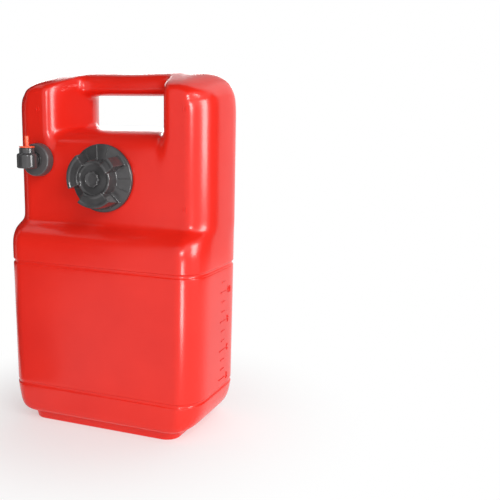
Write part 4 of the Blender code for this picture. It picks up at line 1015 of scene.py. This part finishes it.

# %% [markdown]
# The fuel fitting stands at the upper left. A nut clamps it to its own spout, an elbow swivels
# in it, and the elbow's upright socket is kept clean by a bright plug that the owner pulls
# out before the hose goes on. The elbow is two bars of round stock that meet at a right
# angle, and the same melting gives them one skin.

# %% Nut, elbow and plug
# The nut wears the lighter copy of the black nylon, painted light for its darkly mirrored face.
nut = turned("fitting_nut_ring", [
    (0.0108, 0.012, 0.0004), (0.0212 - 0.0012, 0.012, 0.0006), (0.0212, 0.0108, 0.0008),
    (0.022, 0.0008, 0.0005), (0.0171, 0.0008, 0.0004), (0.0171, 0.0096, 0.0003),
    (0.0108, 0.0096, 0.0003)], AT_FITTING, NYLON_PAINTED_LIGHTER)
dress(nut, "tank", "black_plastic", "fitting_nut")
barrel = turned("fitting_barrel", [
    (0.0085, 0.0123, 0.0003), (0.0105, 0.0123, 0.0004), (0.0105, 0.0093), (0.0165, 0.0093, 0.0003),
    (0.0165, 0.0075, 0.0003), (0.0092, 0.0075), (0.0092, -0.02, 0.0005), (0.0051, -0.02, 0.0004),
    (0.0051, -0.008), (0.0033, -0.008), (0.0033, 0.0033), (0.0085, 0.0033)], AT_FITTING, BLACK)
dress(barrel, "tank", "black_plastic", "fitting_body")

elbow = turned("swivel_elbow", [
    (0, -0.0071), (0.0062, -0.0071), (0.0062, 0.0159), (0.0092, 0.0159), (0.0098, 0.0153),
    (0.0098, 0.0091), (0.0118, 0.0085), (0.013, 0.0069), (0.013, -0.0089), (0.0118, -0.0101),
    (0, -0.0101)], HERE, closed=False)
arm = turned("arm", [
    (0, -0.009), (0.0085, -0.009), (0.0085, -0.0139), (0.0058, -0.0139), (0.0058, -0.0229),
    (0, -0.0229)], Matrix.Rotation(pi / 2, 4, "X"), closed=False)
flow = turned("flow", [(0, 0.001), (0.0033, 0.001), (0.0033, -0.026), (0, -0.026)],
              Matrix.Rotation(pi / 2, 4, "X"), closed=False, steps=48)
combine(elbow, arm, "UNION")
combine(elbow, flow, "DIFFERENCE")
melt(elbow, 0.0004, 4)
elbow.data.transform(AT_SOCKET)
elbow.data.materials.clear()
elbow.data.materials.append(BLACK)
elbow.data.shade_smooth()
dress(elbow, "swivel", "black_plastic", "elbow")
plug = turned("shipping_plug_stopper", [
    (0, 0.0314), (0.0027, 0.0314, 0.0009), (0.0027, 0.0182, 0.0008), (0.0096, 0.0182, 0.0009),
    (0.0096, 0.0162, 0.0009), (0.0058, 0.0162, 0.0003), (0.0058, 0.0104, 0.0009), (0, 0.0104)],
    AT_SOCKET, ORANGE, closed=False)
dress(plug, "plug", "orange_plastic", "shipping_plug")
print("elbow:", len(elbow.data.polygons), "faces; plug:", len(plug.data.polygons))

# %% [markdown]
# A spring in the socket presses a ball against a soft seat, so that no fuel runs out while no
# hose is on.

# %% Check valve in the socket
seat = turned("valve_seat_ring", [
    (0.0031, 0.0094, 0.0005), (0.0059, 0.0094, 0.0003), (0.0059, 0.0054, 0.0003),
    (0.0031, 0.0054, 0.0005)], AT_SOCKET, RUBBER)
dress(seat, "swivel", "black_rubber", "valve_seat")

# %% [markdown]
# The pieces that are left are hidden inside the tank and the cap. They need no finer form, so
# they keep the engineering model's own and only get their finish.

# %% Inner pieces keep the model's own shape
INNER = {
    "cap_gasket": RUBBER, "vent_seal": RUBBER, "fitting_gasket": RUBBER, "elbow_oring": RUBBER,
    "vent_baffle": BLACK, "pickup_tube": NATURAL, "pickup_strainer": NATURAL}
for name, material in INNER.items():
    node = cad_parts[name]
    node.data.materials.clear()
    node.data.materials.append(material)
ball_mesh = bpy.data.meshes.new("valve_ball")
cage = bmesh.new()
bmesh.ops.create_uvsphere(cage, u_segments=48, v_segments=24, radius=BALL_RADIUS)
cage.to_mesh(ball_mesh)
cage.free()
ball_low, ball_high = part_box("check_ball")
ball_mesh.transform(Matrix.Translation((ball_low + ball_high) / 2))
ball = show("valve_ball", ball_mesh, STEEL)
ball_mesh.shade_smooth()
dress(ball, "ball", "steel", "check_ball")
spring_low, spring_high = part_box("check_spring")
wire = 0.0004
spring_turns = 4.0
spring_height = spring_high.z - spring_low.z - 2 * wire
spring = grow("valve_spring", helix_group("spring_wire", STEEL), {
    "Radius": 0.003, "Pitch": spring_height / spring_turns, "Turns": spring_turns, "Wire": wire},
    Matrix.Translation((FITTING_X, ELBOW_Y, spring_low.z + wire)))
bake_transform(spring)
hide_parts("check_spring")
print("inner pieces finished:", len(INNER) + 3)

# %% [markdown]
# A tank like this one has its level marked on a narrow side, where the wall is flat: short
# raised ticks, and a plain number of litres at every third. They are moulded with the wall,
# so they are red too and only their edges show. The wall leans in by half a degree towards
# the foot, and the marks lean with it.

# %% Level marks on the right side
SIDE_LEAN = LOWER_DRAFT / SHOULDER_BOTTOM_Z
MARK_BOTTOM_Z = 0.064
MARK_STEP = 0.0135
MARK_COUNT = 11
MARK_Y = 0.016
MARK_LIFT = 0.0008


def on_side(height):
    """The place of a mark on the right wall: its X to the back, its Y up, its Z outwards."""
    x = UPPER_HALF_WIDTH - LOWER_DRAFT * (SHOULDER_BOTTOM_Z - height) / SHOULDER_BOTTOM_Z
    lean = Matrix.Rotation(atan(SIDE_LEAN), 4, "Y")
    turn = Matrix(((0, 0, 1, 0), (1, 0, 0, 0), (0, 1, 0, 0), (0, 0, 0, 1)))
    return Matrix.Translation((x, MARK_Y, height)) @ lean @ turn


def tick_group(name, material):
    """A ladder of bars along local Y; every third one is longer."""
    group, sizes = new_group(name, (
        ("Count", "NodeSocketInt"), ("Step", "NodeSocketFloat"), ("Bar", "NodeSocketVector")))
    offset = add_node(group, "ShaderNodeCombineXYZ", None, None, {"Y": sizes["Step"]})
    ladder = add_node(group, "GeometryNodeMeshLine", None, None,
                      {"Count": sizes["Count"], "Offset": offset.outputs["Vector"]})
    bar = add_node(group, "GeometryNodeMeshCube", None, None, {"Size": sizes["Bar"]})
    index = add_node(group, "GeometryNodeInputIndex").outputs["Index"]
    third = math(group, "COMPARE", math(group, "MODULO", index, 3), 0)
    third.node.inputs[2].default_value = 0.5
    stretch = math(group, "ADD", math(group, "MULTIPLY", third, 0.8), 1.0)
    scale = add_node(group, "ShaderNodeCombineXYZ", None, {"Y": 1.0, "Z": 1.0}, {"X": stretch})
    bars = add_node(group, "GeometryNodeInstanceOnPoints", None, None, {
        "Points": ladder.outputs["Mesh"], "Instance": bar.outputs["Mesh"],
        "Scale": scale.outputs["Vector"]})
    return close_group(group, bars.outputs["Instances"], material)


ticks = grow("level_ticks", tick_group("level_ladder", RED), {
    "Count": MARK_COUNT, "Step": MARK_STEP, "Bar": (0.011, 0.0014, 2 * MARK_LIFT)},
    on_side(MARK_BOTTOM_Z))
ticks.data.shade_flat()
dress(ticks, "tank", "red_hdpe")


def raised_number(text, height):
    """One plain number, standing a little proud of the wall."""
    curve = bpy.data.curves.new("level_number_" + text, "FONT")
    curve.body = text
    curve.size = 0.012
    curve.extrude = MARK_LIFT
    curve.offset = 0.0002
    curve.align_x = "LEFT"
    curve.align_y = "CENTER"
    letters = bpy.data.objects.new(curve.name + "_curve", curve)
    bpy.context.scene.collection.objects.link(letters)
    bpy.context.view_layer.update()
    graph = bpy.context.evaluated_depsgraph_get()
    mesh = bpy.data.meshes.new_from_object(letters.evaluated_get(graph), depsgraph=graph)
    bpy.data.objects.remove(letters, do_unlink=True)
    mesh.transform(on_side(height) @ Matrix.Translation((0.013, 0, 0)))
    return dress(show("level_number_" + text, mesh, RED), "tank", "red_hdpe")


EAR_MARKS = ((-0.100, 0.4216), (0.114, 0.4238), (0.114, 0.3007))
ear_cage = bmesh.new()
for x, z in EAR_MARKS:
    for shift in (-0.0016, 0.0016):
        place = Matrix.Translation((x + shift, UPPER_FRONT_Y, z))
        bmesh.ops.create_cube(ear_cage, size=1.0, matrix=place @ Matrix.Diagonal((
            0.0012, 2 * MARK_LIFT, 0.0055, 1)))
bmesh.ops.bevel(ear_cage, geom=ear_cage.edges[:], offset=0.0003, segments=2, affect="EDGES")
ear_mesh = bpy.data.meshes.new("mould_marks")
ear_cage.to_mesh(ear_mesh)
ear_cage.free()
dress(show("mould_marks", ear_mesh, RED), "tank", "red_hdpe")
for step, text in ((0, "3"), (3, "6"), (6, "9"), (9, "12")):
    raised_number(text, MARK_BOTTOM_Z + step * MARK_STEP)
print("level marks: ticks from", MARK_BOTTOM_Z, "to", MARK_BOTTOM_Z + (MARK_COUNT - 1) * MARK_STEP)

# %% [markdown]
# The camera stands to the right of the tank and a little above its middle, about a metre
# away, with a short tele lens. Its place and its three directions were measured from the
# tank's own edges in the photograph, so the tank fills the picture in the same way.

# %% Camera at the photograph's angle
CAMERA_PLACE = Vector((0.5000, -0.8593, 0.4047))
CAMERA_RIGHT = Vector((0.9375, 0.3475, 0.0191))
CAMERA_UP = Vector((-0.0763, 0.1516, 0.9855))
LENS_MM = 52.1
camera_data = bpy.data.cameras.new("studio_camera")
camera_data.lens = LENS_MM
camera = bpy.data.objects.new("studio_camera", camera_data)
bpy.context.scene.collection.objects.link(camera)
right = CAMERA_RIGHT.normalized()
back = right.cross(CAMERA_UP).normalized()
up = back.cross(right)
camera.matrix_world = Matrix((
    (right.x, up.x, back.x, CAMERA_PLACE.x), (right.y, up.y, back.y, CAMERA_PLACE.y),
    (right.z, up.z, back.z, CAMERA_PLACE.z), (0, 0, 0, 1)))
bpy.context.scene.camera = camera
print("camera looks along", [round(-part, 3) for part in back])

# %% [markdown]
# The surroundings are white, as in a light tent. Rays from the camera, and rays that a
# glossy surface sends on, see pure white; the light that the surroundings shed has a level
# of its own, here as bright.

# %% White surroundings
def studio_world(seen, shed):
    """White to the camera and in reflections, and shedding light at a level of its own."""
    world = bpy.data.worlds.new("light_tent")
    world.use_nodes = True
    tree = world.node_tree
    tree.nodes.clear()
    path = add_node(tree, "ShaderNodeLightPath")
    mirror = add_node(tree, "ShaderNodeMath", {"operation": "MAXIMUM"}, None, {
        0: path.outputs["Is Glossy Ray"], 1: path.outputs["Is Transmission Ray"]})
    direct = add_node(tree, "ShaderNodeMath", {"operation": "MAXIMUM"}, None, {
        0: mirror.outputs[0], 1: path.outputs["Is Camera Ray"]})
    level = add_node(tree, "ShaderNodeMapRange", None, {"To Min": shed, "To Max": seen},
                     {"Value": direct.outputs[0]})
    back = add_node(tree, "ShaderNodeBackground", None, {"Color": linear("FFFFFF")},
                    {"Strength": level.outputs["Result"]})
    add_node(tree, "ShaderNodeOutputWorld", None, None, {"Surface": back.outputs["Background"]})
    return world


bpy.context.scene.world = studio_world(seen=1.0, shed=1.0)
print("surroundings: seen at 1.0, shedding 1.0")

# %% [markdown]
# The key lamp, at the right and front, lights the form but shows in no reflection. Four more
# lamps show in reflections alone and draw the highlights. Dark and grey cards stand round the
# tank and give the gloss its darker parts.

# %% Lamps and floor
def soft_lamp(name, place, target, width, height, power):
    """A rectangular lamp that faces a point."""
    data = bpy.data.lights.new(name, "AREA")
    data.shape = "RECTANGLE"
    data.size = width
    data.size_y = height
    data.energy = power
    lamp = bpy.data.objects.new(name, data)
    bpy.context.scene.collection.objects.link(lamp)
    lamp.location = place
    lamp.rotation_euler = (Vector(target) - Vector(place)).to_track_quat("-Z", "Y").to_euler()
    lamp.visible_camera = False
    return lamp


def round_about(azimuth, distance, height):
    """A place round the tank; azimuth 0 is in front of it and 90 at its right."""
    return (distance * sin(radians(azimuth)), -distance * cos(radians(azimuth)), height)


key = soft_lamp("key", round_about(55, 1.6, 1.2), (0.0, 0.0, 0.3), 0.9, 0.9, 14)
key.visible_glossy = False
glints = [
    soft_lamp("key_strip", round_about(80, 1.4, 0.72), (0.0, 0.0, 0.4), 0.42, 1.0, 22),
    soft_lamp("key_glint", round_about(33, 1.5, 0.66), (0.1, 0.0, 0.27), 0.36, 0.36, 10),
    soft_lamp("backdrop", round_about(208, 1.1, 0.66), (0.0, 0.0, 0.42), 1.2, 0.24, 4),
    soft_lamp("low_strip", round_about(42, 0.62, 0.05), (0.05, 0.0, 0.12), 0.12, 0.2, 1.6)]
for lamp in glints:
    lamp.visible_diffuse = False


def card_finish(name, level):
    """A card that looks equally grey in every reflection."""
    material, tree, shader = new_material(name, 0.9)
    glow = add_node(tree, "ShaderNodeEmission", None, {
        "Color": linear("FFFFFF"), "Strength": level})
    tree.links.new(glow.outputs["Emission"], tree.nodes["Material Output"].inputs["Surface"])
    return material


def flag(name, azimuth, distance, width, low, high, finish, only_mirrored=True):
    """An upright card that keeps part of the white surroundings off the tank."""
    mesh = bpy.data.meshes.new(name)
    mesh.from_pydata([(-width / 2, 0, low), (width / 2, 0, low), (width / 2, 0, high),
                      (-width / 2, 0, high)], [], [(0, 1, 2, 3)])
    card = show(name, mesh, finish)
    card.location = round_about(azimuth, distance, 0)
    card.rotation_euler = (0, 0, radians(azimuth))
    card.visible_camera = False
    if only_mirrored:
        card.visible_diffuse = False
        card.visible_shadow = False
    return card


DARK_CARD = card_finish("black_card", 0.03)
GREY_CARD = card_finish("grey_card", 0.55)
flag("left_flag", -52, 1.1, 1.0, 0.01, 1.4, DARK_CARD, False)
flag("left_back_flag", -112, 1.1, 1.2, 0.01, 1.4, DARK_CARD, False)
flag("right_flag", 127, 1.1, 0.98, 0.01, 1.4, DARK_CARD)
flag("back_card", 211, 1.2, 1.6, 0.84, 2.0, GREY_CARD)
ceiling = flag("ceiling_flag", 0, 0.0, 1.3, 0, 1.3, DARK_CARD, False)
ceiling.location = (0, 0.45, 1.25)
ceiling.rotation_euler = (pi / 2, 0, 0)
low_card = flag("low_card", -36, 0.0, 0.7, 0, 1.4, DARK_CARD)
low_card.location = (-0.43, 0.004, 0.004)
low_card.rotation_euler = (pi / 2, 0, radians(-36))
half = 3.0
floor_mesh = bpy.data.meshes.new("studio_floor")
floor_mesh.from_pydata([(-half, -half, -0.0005), (half, -half, -0.0005),
                        (half, half, -0.0005), (-half, half, -0.0005)], [], [(0, 1, 2, 3)])
floor = bpy.data.objects.new("studio_floor", floor_mesh)
bpy.context.scene.collection.objects.link(floor)
floor_finish, tree, shader = new_material("white_paper_floor", 0.9)
shader.inputs["Base Color"].default_value = linear("F8F8F8")
place = add_node(tree, "ShaderNodeTexCoord").outputs["Object"]
away = add_node(tree, "ShaderNodeVectorMath", {"operation": "LENGTH"}, None, {0: place})
fade = add_node(tree, "ShaderNodeMapRange", {"interpolation_type": "SMOOTHSTEP"}, {
    "From Min": 0.10, "From Max": 0.36, "To Min": 0.45, "To Max": 1.0},
    {"Value": away.outputs["Value"]})
glow = add_node(tree, "ShaderNodeEmission", None, {"Color": linear("FFFFFF"), "Strength": 1.0})
blend = add_node(tree, "ShaderNodeMixShader", None, None, {
    "Fac": fade.outputs["Result"], 1: shader.outputs["BSDF"], 2: glow.outputs["Emission"]})
tree.links.new(blend.outputs["Shader"], tree.nodes["Material Output"].inputs["Surface"])
floor_mesh.materials.append(floor_finish)
print("floor:", 2 * half, "m square")

# %% [markdown]
# The picture is shown plainly, without a film curve, so that the colours picked above are
# the colours seen.

# %% View without a film curve
bpy.context.scene.view_settings.view_transform = "Standard"
